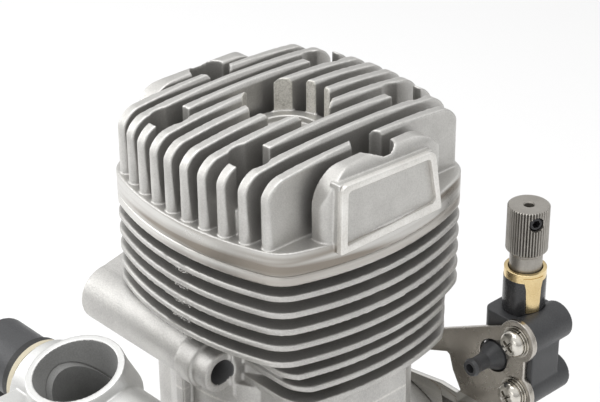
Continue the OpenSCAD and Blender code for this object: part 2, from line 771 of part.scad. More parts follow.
module balls(od, id, w, ball, count) {
  mid = (od + id) / 4;
  for (a = [0:360 / count:359]) rotate(a) translate([mid, 0, w / 2]) sphere(d = ball);
}

module cage(od, id, w, ball, count) {
  mid = (od + id) / 4;
  difference() {
    translate([0, 0, w * 0.15]) ring(mid + ball * 0.16, mid - ball * 0.16, w * 0.7);
    for (a = [0:360 / count:359]) rotate(a) translate([mid - ball, 0, w / 2]) along_x()
      cylinder(r = ball / 2 + run_gap, h = 2 * ball);
  }
}

rear_ball = 4.8;
rear_balls = 10;
front_ball = 3.2;
front_balls = 9;

module rear_bearing_outer() {
  color("lightgray") along_y(rear_bearing_y)
    race_outer(rear_bearing_d, journal_d, rear_bearing_w, rear_ball);
}

module rear_bearing_inner() {
  color("lightgray") along_y(rear_bearing_y)
    race_inner(rear_bearing_d, journal_d, rear_bearing_w, rear_ball);
}

module rear_bearing_balls() {
  color("white") along_y(rear_bearing_y)
    balls(rear_bearing_d, journal_d, rear_bearing_w, rear_ball, rear_balls);
}

module rear_bearing_cage() {
  color("peru") along_y(rear_bearing_y)
    cage(rear_bearing_d, journal_d, rear_bearing_w, rear_ball, rear_balls);
}

module front_bearing_outer() {
  color("lightgray") along_y(front_bearing_y)
    race_outer(front_bearing_d, front_journal_d, front_bearing_w, front_ball);
}

module front_bearing_inner() {
  color("lightgray") along_y(front_bearing_y)
    race_inner(front_bearing_d, front_journal_d, front_bearing_w, front_ball);
}

module front_bearing_balls() {
  color("white") along_y(front_bearing_y)
    balls(front_bearing_d, front_journal_d, front_bearing_w, front_ball, front_balls);
}

module front_bearing_cage() {
  color("peru") along_y(front_bearing_y)
    cage(front_bearing_d, front_journal_d, front_bearing_w, front_ball, front_balls);
}

// The drive washer sits on a split collet that grips the shaft
module drive_washer() {
  color("silver") along_y(0) difference() {
    rotate_extrude() polygon([
      [front_journal_d / 2 + 1.2, 0], [drive_r - 0.6, 0], [drive_r, 0.6], [drive_r, 2.6],
      [drive_r - 3, 4.6], [nose_r - 3.4, drive_t], [front_journal_d / 2 + 2.4, drive_t]
    ]);
    // Grip ribs on the driving face
    for (a = [0:15:345]) rotate(a) translate([9.5, -0.35, -1]) cube([10, 0.7, 1.5]);
  }
}

module drive_collet() {
  color("goldenrod") along_y(0) difference() {
    rotate_extrude() polygon([
      [front_journal_d / 2, 0], [front_journal_d / 2 + 1.2, 0],
      [front_journal_d / 2 + 2.4, drive_t], [front_journal_d / 2 + 1.6, drive_t + 2.6],
      [front_journal_d / 2, drive_t + 2.6]
    ]);
    translate([-0.4, 0, -1]) cube([0.8, 12, drive_t + 6]);
  }
}

module prop_washer() {
  color("lightgray") along_y(-14) ring(10, prop_d / 2 + run_gap, 2);
}

module prop_nut() {
  color("silver") along_y(-22) difference() {
    union() {
      translate([0, 0, 0]) cylinder(r = 7.4, h = 7, $fn = 6);
      translate([0, 0, 6]) cylinder(r = 7.6, h = 2);
    }
    translate([0, 0, -1]) cylinder(d = prop_d - 0.4, h = 20);
  }
}

module rear_cover() {
  color("silver") difference() {
    union() {
      along_y(cover_y + gasket_t) cover_plate(cover_t - gasket_t);
      along_y(chamber_end - 1) cylinder(r = chamber_r - run_gap, h = 11);
    }
    along_y(chamber_end - 3) cylinder(r = chamber_r - 3, h = 8);
    for (sx = [-1, 1], sz = [-1, 1])
      translate([sx * cover_screw_xy, 0, sz * cover_screw_xy])
        along_y(cover_y - 2) cylinder(d = 4, h = 20);
    along_y(plate_y - 1.5) ring(15, 11, 4);
  }
}

// Round plate with four screw ears, drawn along Z
module cover_plate(h) {
  cylinder(r = chamber_r + case_wall, h = h);
  for (sx = [-1, 1], sy = [-1, 1])
    translate([sx * cover_screw_xy, sy * cover_screw_xy, 0]) cylinder(r = cover_ear_r, h = h);
}

module rear_cover_gasket() {
  color("peru") along_y(cover_y + eps) difference() {
    cover_plate(gasket_t - 2 * eps);
    translate([0, 0, -1]) cylinder(r = chamber_r, h = 3);
    for (sx = [-1, 1], sy = [-1, 1])
      translate([sx * cover_screw_xy, sy * cover_screw_xy, -1]) cylinder(d = 4, h = 3);
  }
}

module rear_cover_screws() {
  color("dimgray") for (sx = [-1, 1], sz = [-1, 1])
    translate([sx * cover_screw_xy, plate_y + (sz > 0 ? plate_t : 0), sz * cover_screw_xy])
      along_y() cap_screw(3.5, cover_t + 9, 6.2);
}

// Carburettor frame: z runs up the tilted intake, with the rim's centre at the origin
module in_carb() {
  translate([0, mouth_y, mouth_z]) rotate([carb_tilt, 0, 0]) children();
}

mouth_r = intake_d / 2 + mouth_wall;
barrel_drop = (mouth_z - carb_z) / cos(carb_tilt);
spigot_drop = (mouth_z - 20) / cos(carb_tilt);

module carburettor_body() {
  color("silver") difference() {
    union() {
      in_carb() rotate_extrude() polygon([
        [0, -spigot_drop], [7.4, -spigot_drop], [7.4, intake_top - mouth_z],
        [9.8, intake_top - mouth_z], [9.8, -24], [8.4, -21],
        [8.8, -12], [mouth_r + 1.6, -7.5], [mouth_r + 0.5, -3], [mouth_r, 0], [0, 0]
      ]);
      translate([0, carb_y, carb_z]) along_x(rotor_left)
        cylinder(r = barrel_r, h = rotor_right - rotor_left);
      // Ear for the stop screw
      translate([rotor_left + 2, carb_y - barrel_r - 4, carb_z - 3]) cube([6, 8, 6]);
    }
    in_carb() {
      translate([0, 0, -barrel_drop]) cylinder(d1 = venturi_d, d2 = intake_d, h = barrel_drop + eps);
      translate([0, 0, -spigot_drop - 1]) cylinder(d = venturi_d, h = spigot_drop);
      // Groove for the seal
      translate([0, 0, -spigot_drop + 4]) ring(9, 6.6, 2);
    }
    // Seat for the fuel nipple
    translate([12, carb_y - barrel_r + 0.4, carb_z]) rotate([90, 0, 0]) cylinder(d = 5.6, h = 9);
    translate([0, carb_y, carb_z]) along_x(rotor_left - 1)
      cylinder(d = rotor_d + 2 * run_gap, h = rotor_right - rotor_left - 3);
    translate([0, carb_y, carb_z]) along_x(rotor_left) cylinder(d = 3.4, h = 60);
    translate([rotor_left + 5, carb_y - barrel_r - 5, carb_z])
      along_y() cylinder(d = 2 + 2 * run_gap, h = 8);
  }
}

module carburettor_seal() {
  color("black") in_carb() translate([0, 0, -spigot_drop + 5]) rotate_extrude()
    translate([7.1, 0]) intersection() {
      circle(r = 0.9, $fn = 32);
      translate([-0.48, -1]) square([0.84, 2]);
    }
}

module carburettor_screws() {
  color("dimgray") for (s = [-1, 1]) translate([0, mouth_y + (mouth_z - 29) * tan(carb_tilt), 29])
    rotate([carb_tilt, 0, 0]) rotate([0, s * 90, 0]) translate([0, 0, 11.4])
      cap_screw(2.5, 3.6, 4.6);
}

module throttle_rotor() {
  color("darkgray") difference() {
    translate([0, carb_y, carb_z]) along_x(rotor_left - 1) {
      cylinder(d = rotor_d, h = rotor_right - rotor_left - 3.4);
      translate([0, 0, -8]) cylinder(d = 5, h = 9);
    }
    translate([0, carb_y, carb_z]) rotate([carb_tilt, 0, 0])
      cylinder(d = venturi_d, h = 40, center = true);
    translate([0, carb_y, carb_z]) along_x(6) cylinder(d = 2.6, h = 20);
  }
}

module rotor_disc() {
  color("khaki") translate([0, carb_y, carb_z]) along_x(rotor_left - 2.2) ring(7.4, 2.5, 1.2);
}

module rotor_boot() {
  color("black") translate([0, carb_y, carb_z]) along_x(rotor_left - 4) ring(7.1, 2.5, 1.8);
}

module throttle_lever() {
  color("dimgray") difference() {
    union() {
      translate([0, carb_y, carb_z]) along_x(rotor_left - 15) cylinder(r = 6.4, h = 11);
      translate([rotor_left - 15, carb_y, carb_z]) rotate([90, 0, 90]) linear_extrude(2.4)
        polygon([[-6, 0], [6, 0], [2.4, -lever_len], [-2.4, -lever_len]]);
      translate([0, carb_y, carb_z - lever_len]) along_x(rotor_left - 15)
        cylinder(r = 2.6, h = 2.4);
    }
    translate([0, carb_y, carb_z]) along_x(rotor_left - 9) cylinder(d = 5, h = 9);
    translate([0, carb_y, carb_z]) along_x(rotor_left - 16) cylinder(d = 3, h = 9);
    translate([0, carb_y, carb_z - lever_len]) along_x(rotor_left - 16) cylinder(d = 1.7, h = 5);
  }
}

module lever_screw() {
  color("silver") translate([0, carb_y, carb_z]) translate([rotor_left - 15, 0, 0])
    rotate([0, -90, 0]) cap_screw(3, 6, 5);
}

module throttle_stop_screw() {
  color("silver") translate([rotor_left + 5, carb_y - barrel_r - 4 - 5, carb_z]) {
    along_y(0) cylinder(d = 2, h = 9);
    along_y(-2) cylinder(d = 4, h = 2 + eps);
  }
}

module throttle_stop_spring() {
  color("lightgray") translate([rotor_left + 5, carb_y - barrel_r - 9, carb_z])
    along_y(0.05) linear_extrude(4.9, twist = -1440, slices = 64)
      translate([1.55, 0]) circle(r = 0.42, $fn = 10);
}

module idle_mixture_screw() {
  color("goldenrod") translate([0, carb_y, carb_z]) {
    along_x(6) cylinder(d = 2.5, h = rotor_right - 3);
    along_x(rotor_right + 0.3) difference() {
      cylinder(d = 5.6, h = 3);
      translate([-0.5, -4, 2]) cube([1, 8, 2]);
    }
  }
}

// Fuel nipple with two barbs, drawn along Z from z = 0
module nipple(len, root_d) {
  r = nipple_d / 2;
  difference() {
    rotate_extrude() polygon([
      [0, 0], [root_d / 2, 0], [root_d / 2, 1.2], [r, 1.6], [r, len * 0.45], [r + 0.45, len * 0.5],
      [r, len * 0.7], [r, len * 0.75], [r + 0.45, len * 0.78], [r - 0.1, len], [0, len]
    ]);
    translate([0, 0, 1]) cylinder(d = 1.8, h = len);
  }
}

module carburettor_nipple() {
  color("dimgray") translate([12, carb_y - barrel_r + 0.4, carb_z]) rotate([90, 0, 0])
    nipple(8, 5.5);
}

// Bracket plate, front view: X to the right, Z up
module bracket_outline() {
  difference() {
    union() {
      polygon([
        [-20, 11], [20, 11], [20, 20], [30, 28.6], [34.8, 31], [35.7, 36], [35.7, 44],
        [33.5, 50.6], [31.5, 49.5], [14, 40.6], [4, 35.4], [-20, 26]
      ]);
      for (p = [upper_screw, lower_screw]) translate(p) circle(r = ear_r);
    }
    // Window in the plate
    polygon([
      [-12, 23.5], [13.9, 27.4], [18.6, 27.2], [19.5, 28.3], [17.2, 32.2], [16.2, 35.4],
      [15.4, 35.8], [10, 33.6], [-12, 24.8]
    ]);
    circle(r = chamber_r - 3);
  }
}

module needle_bracket() {
  color("silver") translate([0, plate_y + plate_t, 0]) rotate([90, 0, 0]) linear_extrude(plate_t)
    difference() {
      bracket_outline();
      for (sx = [-1, 1]) translate([sx * cover_screw_xy, cover_screw_xy]) circle(d = 3.8);
      for (p = [upper_screw, lower_screw]) translate(p) circle(d = 3.2);
      translate(nipple_xz) circle(d = 7);
    }
}

module at_bracket_screws(y) {
  for (p = [upper_screw, lower_screw]) translate([p[0], y, p[1]]) children();
}

module bracket_screws() {
  color("lightgray") at_bracket_screws(plate_y - washer_t) rotate([90, 0, 0]) pan_screw(3, 12);
}

module bracket_washers() {
  color("gainsboro") at_bracket_screws(plate_y) rotate([90, 0, 0]) difference() {
    ring(2.75, 1.5, washer_t);
    translate([0, -0.25, -1]) cube([5, 0.5, 4]);
  }
}

module needle_holder() {
  back = plate_y + plate_t;
  block_half = 5.4;
  block_r = 2.2;
  color("dimgray") difference() {
    union() {
      at_bracket_screws(back) along_y() cylinder(r = screw_boss_r, h = screw_boss_len);
      // Block round the needle with round upright edges, and the web between the screw bosses
      translate([needle_x - block_half, needle_y - needle_back + block_r, 30])
        cube([2 * block_half, 2 * needle_back - 2 * block_r - 0.7, sleeve_z - 30]);
      translate([needle_x - block_half + block_r, back, 30])
        cube([2 * (block_half - block_r), 2 * needle_back - 0.7, sleeve_z - 30]);
      for (s = [-1, 1], y = [block_r, 2 * needle_back - 0.7 - block_r])
        translate([needle_x + s * (block_half - block_r), back + y, 30])
          cylinder(r = block_r, h = sleeve_z - 30);
      translate([needle_x, back, lower_screw[1]])
        cube([upper_screw[0] + 3.4 - needle_x, 8, upper_screw[1] - lower_screw[1]]);
    }
    at_bracket_screws(back - 1) along_y() cylinder(d = 3, h = screw_boss_len + 0.1);
    translate([needle_x, needle_y, sleeve_z]) cylinder(d = sleeve_d, h = 9);
    translate([needle_x, needle_y, 36]) cylinder(d = 4, h = 20);
    translate([nipple_xz[0], 0, nipple_xz[1]]) {
      along_y(back - 1) cylinder(d = 4.4, h = 5.4);
      along_y(back) cylinder(d = 1.8, h = needle_back);
    }
  }
}

module holder_nipple() {
  color("black") translate([nipple_xz[0], plate_y + plate_t + 1, nipple_xz[1]]) rotate([90, 0, 0])
    difference() {
      union() {
        translate([0, 0, -3.2]) cylinder(d = 4.4, h = 3.2);
        rotate_extrude() polygon([
          [0, -1], [2.2, -1], [2.2, 1], [3.2, 1], [3.1, 2.2], [2.3, 3.6], [nipple_d / 2, 4.8],
          [nipple_d / 2 - 0.1, 7.2], [nipple_d / 2 + 0.2, 8.4], [nipple_d / 2 - 0.1, 9], [0, 9]
        ]);
      }
      translate([0, 0, -6]) cylinder(d = 2, h = 20);
    }
}

module needle_sleeve() {
  color("black") translate([needle_x, needle_y, sleeve_z]) difference() {
    cylinder(d = sleeve_d, h = collar_z - collar_h - sleeve_z);
    translate([0, 0, -1]) cylinder(d = 4, h = 20);
    // Slot for the ratchet's tongue
    rotate(tongue_turn) translate([-1.5, -sleeve_d, 0.9]) cube([3, sleeve_d - 3.4, 20]);
  }
}

// Brass ratchet: a ring round the needle's neck with a tongue down the sleeve
module needle_ratchet() {
  color("goldenrod") translate([needle_x, needle_y, 0]) {
    translate([0, 0, collar_z - collar_h]) ring(sleeve_d / 2 - 0.1, 2.95 + run_gap, collar_h);
    rotate(tongue_turn) intersection() {
      translate([-1.5, -sleeve_d / 2 - 0.1, sleeve_z + 0.9])
        cube([3, 0.9, collar_z - sleeve_z - 1.5]);
      translate([0, 0, sleeve_z]) cylinder(d = sleeve_d + 0.2, h = 20);
    }
  }
}

module needle_valve() {
  color("gray") translate([needle_x, needle_y, 0]) difference() {
    union() {
      translate([0, 0, knob_top - knob_len]) cylinder(d = knob_d, h = knob_len);
      translate([0, 0, collar_z - collar_h]) cylinder(r = 2.95, h = collar_h + neck_len + 1);
      translate([0, 0, 40]) cylinder(d = 2, h = collar_z - collar_h - 39);
      translate([0, 0, 36.4]) cylinder(d1 = 0.6, d2 = 2, h = 3.7);
    }
    translate([0, 0, knob_top - 4]) cylinder(d = 2, h = 5);
    // Serrations on the knob
    for (a = [0:15:345]) rotate(a) translate([knob_d / 2, 0, knob_top - knob_len - 1])
      rotate(45) cube([0.5, 0.5, 2 * knob_len], center = true);
    translate([0, 0, knob_top - set_screw_drop]) rotate([90, 0, set_screw_turn])
      cylinder(d = set_screw_d, h = 8);
  }
}

module needle_set_screw() {
  color("black") translate([needle_x, needle_y, knob_top - set_screw_drop])
    rotate([90, 0, set_screw_turn]) difference() {
    translate([0, 0, 1.2]) cylinder(d = set_screw_d, h = 2.6);
    translate([0, 0, 2]) cylinder(d = 1.6, h = 3, $fn = 6);
  }
}

crankcase();
cylinder_liner();
cylinder_head();
head_gasket();
head_screws();
piston();
piston_ring();
wrist_pin();
wrist_pin_clips();
connecting_rod();
small_end_bush();
big_end_bush();
crank_pin();
crankshaft();
rear_bearing_outer();
rear_bearing_inner();
rear_bearing_balls();
rear_bearing_cage();
front_bearing_outer();
front_bearing_inner();
front_bearing_balls();
front_bearing_cage();
drive_washer();
drive_collet();
prop_washer();
prop_nut();
rear_cover();
rear_cover_gasket();
rear_cover_screws();
carburettor_body();
carburettor_seal();
carburettor_screws();
throttle_rotor();
rotor_disc();
rotor_boot();
throttle_lever();
lever_screw();
throttle_stop_screw();
throttle_stop_spring();
idle_mixture_screw();
carburettor_nipple();
needle_bracket();
bracket_screws();
bracket_washers();
needle_holder();
holder_nipple();
needle_sleeve();
needle_ratchet();
needle_valve();
needle_set_screw();
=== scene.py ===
"""Looks of a two-stroke model aircraft engine: castings, turned parts, plate and plastic."""
import math
import random

import bmesh
import bpy
from mathutils import Matrix, Vector


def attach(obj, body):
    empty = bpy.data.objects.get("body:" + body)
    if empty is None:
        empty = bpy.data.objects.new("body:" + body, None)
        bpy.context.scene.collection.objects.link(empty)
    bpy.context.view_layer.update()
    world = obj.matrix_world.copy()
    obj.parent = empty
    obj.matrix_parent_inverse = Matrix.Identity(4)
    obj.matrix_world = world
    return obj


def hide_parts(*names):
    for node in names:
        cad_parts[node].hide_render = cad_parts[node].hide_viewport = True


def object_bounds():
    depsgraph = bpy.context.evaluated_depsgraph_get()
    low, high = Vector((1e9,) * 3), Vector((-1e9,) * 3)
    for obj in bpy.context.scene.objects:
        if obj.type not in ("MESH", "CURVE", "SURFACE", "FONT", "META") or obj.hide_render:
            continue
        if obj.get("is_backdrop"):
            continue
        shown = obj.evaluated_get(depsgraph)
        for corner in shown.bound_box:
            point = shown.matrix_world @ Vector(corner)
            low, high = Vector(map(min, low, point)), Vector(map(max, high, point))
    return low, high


MM = 0.001

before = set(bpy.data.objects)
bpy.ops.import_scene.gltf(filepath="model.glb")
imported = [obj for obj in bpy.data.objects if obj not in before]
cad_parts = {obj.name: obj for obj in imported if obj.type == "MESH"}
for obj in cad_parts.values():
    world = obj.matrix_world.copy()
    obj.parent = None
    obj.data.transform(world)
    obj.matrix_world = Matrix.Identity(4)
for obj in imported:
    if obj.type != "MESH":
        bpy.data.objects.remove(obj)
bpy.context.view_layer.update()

# Camera of the photograph, in millimetres and degrees
CAMERA_PLACE = (226.9, -126.2, 242.3)
CAMERA_TURN = 47.33
CAMERA_RISE = 28.55
CAMERA_ROLL = -0.497
LENS = 110.5

# Measures of the head and barrel, in millimetres
CYLINDER_Y = 80
DECK_Z = 78.05
HEAD_Z = 82.65
DECK_T = 2.1

# Well of the glow plug: its radius, the top of the boss at its foot, and how far from the well's
# wall a face may lie to count as part of it
PLUG_WELL_R = 8.2
PLUG_BOSS_Z = 90.8
WELL_SKIN = 0.22

# Raised rim on the port side of the head: corners as (y, z) from the cylinder's axis and the
# flange's top, each with its corner radius, and the two planes between which it stands
RIM_OUTER = (((-13.7, -1.7), 0.3), ((11.8, -1.8), 0.4), ((9.7, 10.6), 1.8), ((-13.4, 11.6), 1.3))
RIM_INNER = (((-12.1, -0.4), 0.5), ((10.4, 0.0), 0.9), ((8.5, 9.4), 1.3), ((-11.9, 10.2), 0.7))
FIELD_X = 27.8
RIM_X = 28.6

# Needle valve's place, and the measures of its knob
NEEDLE_X = 28.8
KNOB_TOP = 72.5
KNOB_LEN = 10.2
KNOB_R = 4.15
KNOB_TEETH = 44
TOOTH_DEPTH = 0.32
NECK_R = 3.25
COLLAR_Z = 59.0
COLLAR_H = 1.9
SLEEVE_Z = 49.6
SLEEVE_R = 4.25
TONGUE_TURN = 66
SET_SCREW_TURN = 65
SET_SCREW_DROP = 2.5
SET_SCREW_R = 1.35

# Where the crankcase's visible mesh is parted, below the exhaust duct
CASE_SPLIT_Z = 44

# Muffler bolts: half their distance, their height and the radius of their holes
BOLT_HALF = 24.6
EXHAUST_Z = 51.85
BOLT_HOLE_R = 2.55

# Carburettor's intake: middle of its rim, radius and forward tilt
MOUTH = Vector((0, 28.5, 60.9))
INTAKE_R = 7.8
INTAKE_TILT = Matrix.Rotation(math.radians(-14), 3, "X")

# Screws of the needle's bracket as (x, z), their heads, washers and the plate's front
BRACKET_SCREWS = ((33.5, 46.6), (33.6, 34.8))
PAN_R = 2.75
THREAD_R = 1.5
FLAT_T = 0.25
WASHER_T = 0.7
PLATE_Y = 109
NEEDLE_AXIS = Matrix.Translation((NEEDLE_X * MM, (PLATE_Y + 7.2) * MM, 0))

# Cooling fins of the barrel, and the flash at the front where the mould's halves met
TOP_FIN_Z = 73.34
FIN_PITCH = 3.43
FIN_T = 1.2
FLASH_FINS = 5
FLASH_X = 0.9
CRUMBS_A_FIN = 60
CRUMB_R = 0.24
BARREL_FRONT_Y = CYLINDER_Y - 28.25

# How far a rough surface's roughness strays, and how much smoother a machined band is
ROUGH_SPREAD = 0.06
BAND_SMOOTHER = 0.14


def linked(name, data):
    """A new object for a mesh, lamp or camera, in the scene."""
    piece = bpy.data.objects.new(name, data)
    bpy.context.scene.collection.objects.link(piece)
    return piece


def from_bmesh(name, bm):
    """A new object from a finished bmesh, with its faces turned outwards."""
    bmesh.ops.remove_doubles(bm, verts=bm.verts, dist=1e-7)
    bmesh.ops.recalc_face_normals(bm, faces=bm.faces)
    mesh = bpy.data.meshes.new(name)
    bm.to_mesh(mesh)
    bm.free()
    return linked(name, mesh)


def settled(piece):
    """Turns the piece and its modifiers into one plain mesh."""
    graph = bpy.context.evaluated_depsgraph_get()
    mesh = bpy.data.meshes.new_from_object(piece.evaluated_get(graph))
    piece.modifiers.clear()
    piece.data = mesh
    return piece


def copy_of(node, name):
    """A free copy of a CAD node, with its loose triangles merged."""
    bm = bmesh.new()
    bm.from_mesh(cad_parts[node].data)
    bmesh.ops.remove_doubles(bm, verts=bm.verts, dist=1e-6)
    mesh = bpy.data.meshes.new(name)
    bm.to_mesh(mesh)
    bm.free()
    return linked(name, mesh)


def shaded(piece, angle=40):
    """Smooth shading, with edges sharper than the angle kept crisp."""
    piece.data.shade_smooth()
    piece.data.set_sharp_from_angle(angle=math.radians(angle))
    return piece


def blasted(node, name, grain, rounds, most, before=None):
    """A casting's skin: the node's shape with every edge and corner softened.
    grain is the step of the new mesh in millimetres, rounds the smoothing, most the triangles
    that are kept, and before an edit of the shape that comes first."""
    shape = copy_of(node, name + "_shape")
    if before:
        before(shape)
    piece = linked(name, shape.data.copy())
    remesh = piece.modifiers.new("skin", "REMESH")
    remesh.mode = "VOXEL"
    remesh.voxel_size = grain * MM
    snap = piece.modifiers.new("true faces", "SHRINKWRAP")
    snap.target = shape
    snap.wrap_method = "NEAREST_SURFACEPOINT"
    soften = piece.modifiers.new("soften", "SMOOTH")
    soften.factor = 0.5
    soften.iterations = rounds
    settled(piece)
    thin = piece.modifiers.new("thin", "DECIMATE")
    thin.ratio = min(1, most / (2 * len(piece.data.polygons)))
    settled(piece)
    bpy.data.objects.remove(shape)
    return piece


def bevelled(piece, width, segments, angle):
    """Breaks the edges of a piece that are sharper than the angle, by a width in millimetres."""
    bevel = piece.modifiers.new("broken edge", "BEVEL")
    bevel.width = width * MM
    bevel.segments = segments
    bevel.limit_method = "ANGLE"
    bevel.angle_limit = math.radians(angle)
    return settled(piece)


def turned(name, profile, steps=48):
    """A lathe-turned piece about Z; the profile is a closed round of (radius, height) in mm."""
    bm = bmesh.new()
    rings = []
    for step in range(steps):
        angle = 2 * math.pi * step / steps
        rings.append([bm.verts.new((r * math.cos(angle) * MM, r * math.sin(angle) * MM, z * MM))
                      for r, z in profile])
    count = len(profile)
    for step in range(steps):
        here, there = rings[step], rings[(step + 1) % steps]
        for i in range(count):
            j = (i + 1) % count
            bm.faces.new((here[i], there[i], there[j], here[j]))
    bmesh.ops.remove_doubles(bm, verts=bm.verts, dist=1e-7)
    bmesh.ops.dissolve_degenerate(bm, dist=1e-7, edges=bm.edges)
    return from_bmesh(name, bm)


def prism(name, points, low, high):
    """A straight solid over an outline of (x, y) points, from low to high along Z, in mm."""
    bm = bmesh.new()
    ends = [[bm.verts.new((x * MM, y * MM, z * MM)) for x, y in points] for z in (low, high)]
    bm.faces.new(ends[0])
    bm.faces.new(ends[1])
    for i in range(len(points)):
        j = (i + 1) % len(points)
        bm.faces.new((ends[0][i], ends[0][j], ends[1][j], ends[1][i]))
    return from_bmesh(name, bm)


def moved(piece, matrix):
    """Moves a piece by moving its mesh."""
    piece.data.transform(matrix)
    return piece


def cut_by(piece, *tools, keep=False):
    """Takes the tools out of the piece, or keeps only what lies in them; the tools are removed."""
    for tool in tools:
        cut = piece.modifiers.new("cut", "BOOLEAN")
        cut.operation = "INTERSECT" if keep else "DIFFERENCE"
        cut.solver = "EXACT"
        cut.object = tool
        settled(piece)
        bpy.data.objects.remove(tool)
    return piece


def joined(name, *pieces):
    """One piece from several."""
    bm = bmesh.new()
    for piece in pieces:
        bm.from_mesh(piece.data)
        bpy.data.objects.remove(piece)
    mesh = bpy.data.meshes.new(name)
    bm.to_mesh(mesh)
    bm.free()
    return linked(name, mesh)


def rounded(corners, steps=6):
    """An outline's points, with each corner ((x, y), radius) turned into an arc."""
    points = []
    for i, (corner, radius) in enumerate(corners):
        here = Vector(corner)
        before = (Vector(corners[i - 1][0]) - here).normalized()
        after = (Vector(corners[(i + 1) % len(corners)][0]) - here).normalized()
        half = before.angle(after) / 2
        middle = here + (before + after).normalized() * (radius / math.sin(half))
        start = here + before * (radius / math.tan(half)) - middle
        turn = start.angle_signed(here + after * (radius / math.tan(half)) - middle)
        for step in range(steps + 1):
            spin = Matrix.Rotation(-turn * step / steps, 2)
            points.append(tuple(middle + spin @ start))
    return points


# Geometry Nodes: one tree sets a piece out over a list of places

def set_out_tree():
    """Puts the piece at every point, aimed one way and turned about its own axis by chance."""
    tree = bpy.data.node_groups.new("set_out", "GeometryNodeTree")
    for label, kind in (("Places", "NodeSocketGeometry"), ("Piece", "NodeSocketObject"),
                        ("Aim", "NodeSocketVector"), ("Twist", "NodeSocketFloat"),
                        ("Spread", "NodeSocketFloat"), ("Seed", "NodeSocketInt"),
                        ("Material", "NodeSocketMaterial")):
        tree.interface.new_socket(label, in_out="INPUT", socket_type=kind)
    tree.interface.new_socket("Geometry", in_out="OUTPUT", socket_type="NodeSocketGeometry")
    start = tree.nodes.new("NodeGroupInput")
    end = tree.nodes.new("NodeGroupOutput")
    source = tree.nodes.new("GeometryNodeObjectInfo")
    source.inputs["As Instance"].default_value = True
    place = tree.nodes.new("GeometryNodeInstanceOnPoints")
    twist = tree.nodes.new("FunctionNodeRandomValue")
    axis = tree.nodes.new("ShaderNodeCombineXYZ")
    turn = tree.nodes.new("GeometryNodeRotateInstances")
    size = tree.nodes.new("FunctionNodeRandomValue")
    least = tree.nodes.new("ShaderNodeMath")
    least.operation = "SUBTRACT"
    least.inputs[0].default_value = 1
    grow = tree.nodes.new("GeometryNodeScaleInstances")
    whole = tree.nodes.new("GeometryNodeRealizeInstances")
    paint = tree.nodes.new("GeometryNodeSetMaterial")
    link = tree.links.new
    link(start.outputs["Places"], place.inputs["Points"])
    link(start.outputs["Piece"], source.inputs["Object"])
    link(source.outputs["Geometry"], place.inputs["Instance"])
    link(start.outputs["Aim"], place.inputs["Rotation"])
    link(start.outputs["Twist"], twist.inputs[3])
    link(start.outputs["Seed"], twist.inputs["Seed"])
    link(twist.outputs[1], axis.inputs["Z"])
    link(place.outputs["Instances"], turn.inputs["Instances"])
    link(axis.outputs["Vector"], turn.inputs["Rotation"])
    link(start.outputs["Spread"], least.inputs[1])
    link(least.outputs[0], size.inputs[2])
    size.inputs[3].default_value = 1
    link(start.outputs["Seed"], size.inputs["Seed"])
    link(turn.outputs["Instances"], grow.inputs["Instances"])
    link(size.outputs[1], grow.inputs["Scale"])
    link(grow.outputs["Instances"], whole.inputs["Geometry"])
    link(whole.outputs["Geometry"], paint.inputs["Geometry"])
    link(start.outputs["Material"], paint.inputs["Material"])
    link(paint.outputs["Geometry"], end.inputs["Geometry"])
    return tree


SET_OUT = set_out_tree()


def set_out(name, piece, places, aim, material, twist=0.0, spread=0.0, seed=1):
    """A mesh of the piece at all the places, in millimetres; the single piece is removed."""
    mesh = bpy.data.meshes.new(name + "_places")
    mesh.from_pydata([tuple(Vector(place) * MM) for place in places], [], [])
    base = linked(name, mesh)
    nodes = base.modifiers.new("set out", "NODES")
    nodes.node_group = SET_OUT
    values = {"Piece": piece, "Aim": tuple(aim), "Twist": twist, "Spread": spread, "Seed": seed,
              "Material": material}
    for socket in SET_OUT.interface.items_tree:
        if socket.name in values:
            nodes[socket.identifier] = values[socket.name]
    base.update_tag()
    bpy.context.view_layer.update()
    settled(base)
    bpy.data.objects.remove(piece)
    return base


def put(piece, body, slot, material, *nodes, angle=40):
    """Gives a finished piece its material and its body, and hides the CAD nodes it stands for;
    slot is not used.
    """
    piece.data.materials.clear()
    piece.data.materials.append(material)
    shaded(piece, angle)
    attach(piece, body)
    if nodes:
        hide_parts(*nodes)
    return piece


def dress(material, *nodes):
    """Gives CAD nodes that stay as they are their material."""
    for node in nodes:
        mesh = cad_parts[node].data
        mesh.materials.clear()
        mesh.materials.append(material)


# Material groups

def new_group(name, inputs, outputs):
    """A shader node group with named float inputs and the outputs given as (name, kind)."""
    tree = bpy.data.node_groups.new(name, "ShaderNodeTree")
    for label, value in inputs:
        socket = tree.interface.new_socket(label, in_out="INPUT", socket_type="NodeSocketFloat")
        socket.default_value = value
    for label, kind in outputs:
        tree.interface.new_socket(label, in_out="OUTPUT", socket_type=kind)
    return tree, tree.nodes.new("NodeGroupInput"), tree.nodes.new("NodeGroupOutput")


def math_node(tree, operation, first, second):
    """A math node whose two inputs are sockets or numbers."""
    node = tree.nodes.new("ShaderNodeMath")
    node.operation = operation
    for index, value in enumerate((first, second)):
        if isinstance(value, (int, float)):
            node.inputs[index].default_value = value
        else:
            tree.links.new(value, node.inputs[index])
    return node.outputs[0]


def noise(tree, vector, scale, detail=2, rough=0.5):
    """A noise texture at so many lumps a metre."""
    node = tree.nodes.new("ShaderNodeTexNoise")
    node.inputs["Detail"].default_value = detail
    node.inputs["Roughness"].default_value = rough
    if isinstance(scale, (int, float)):
        node.inputs["Scale"].default_value = scale
    else:
        tree.links.new(scale, node.inputs["Scale"])
    tree.links.new(vector, node.inputs["Vector"])
    return node.outputs["Fac"]


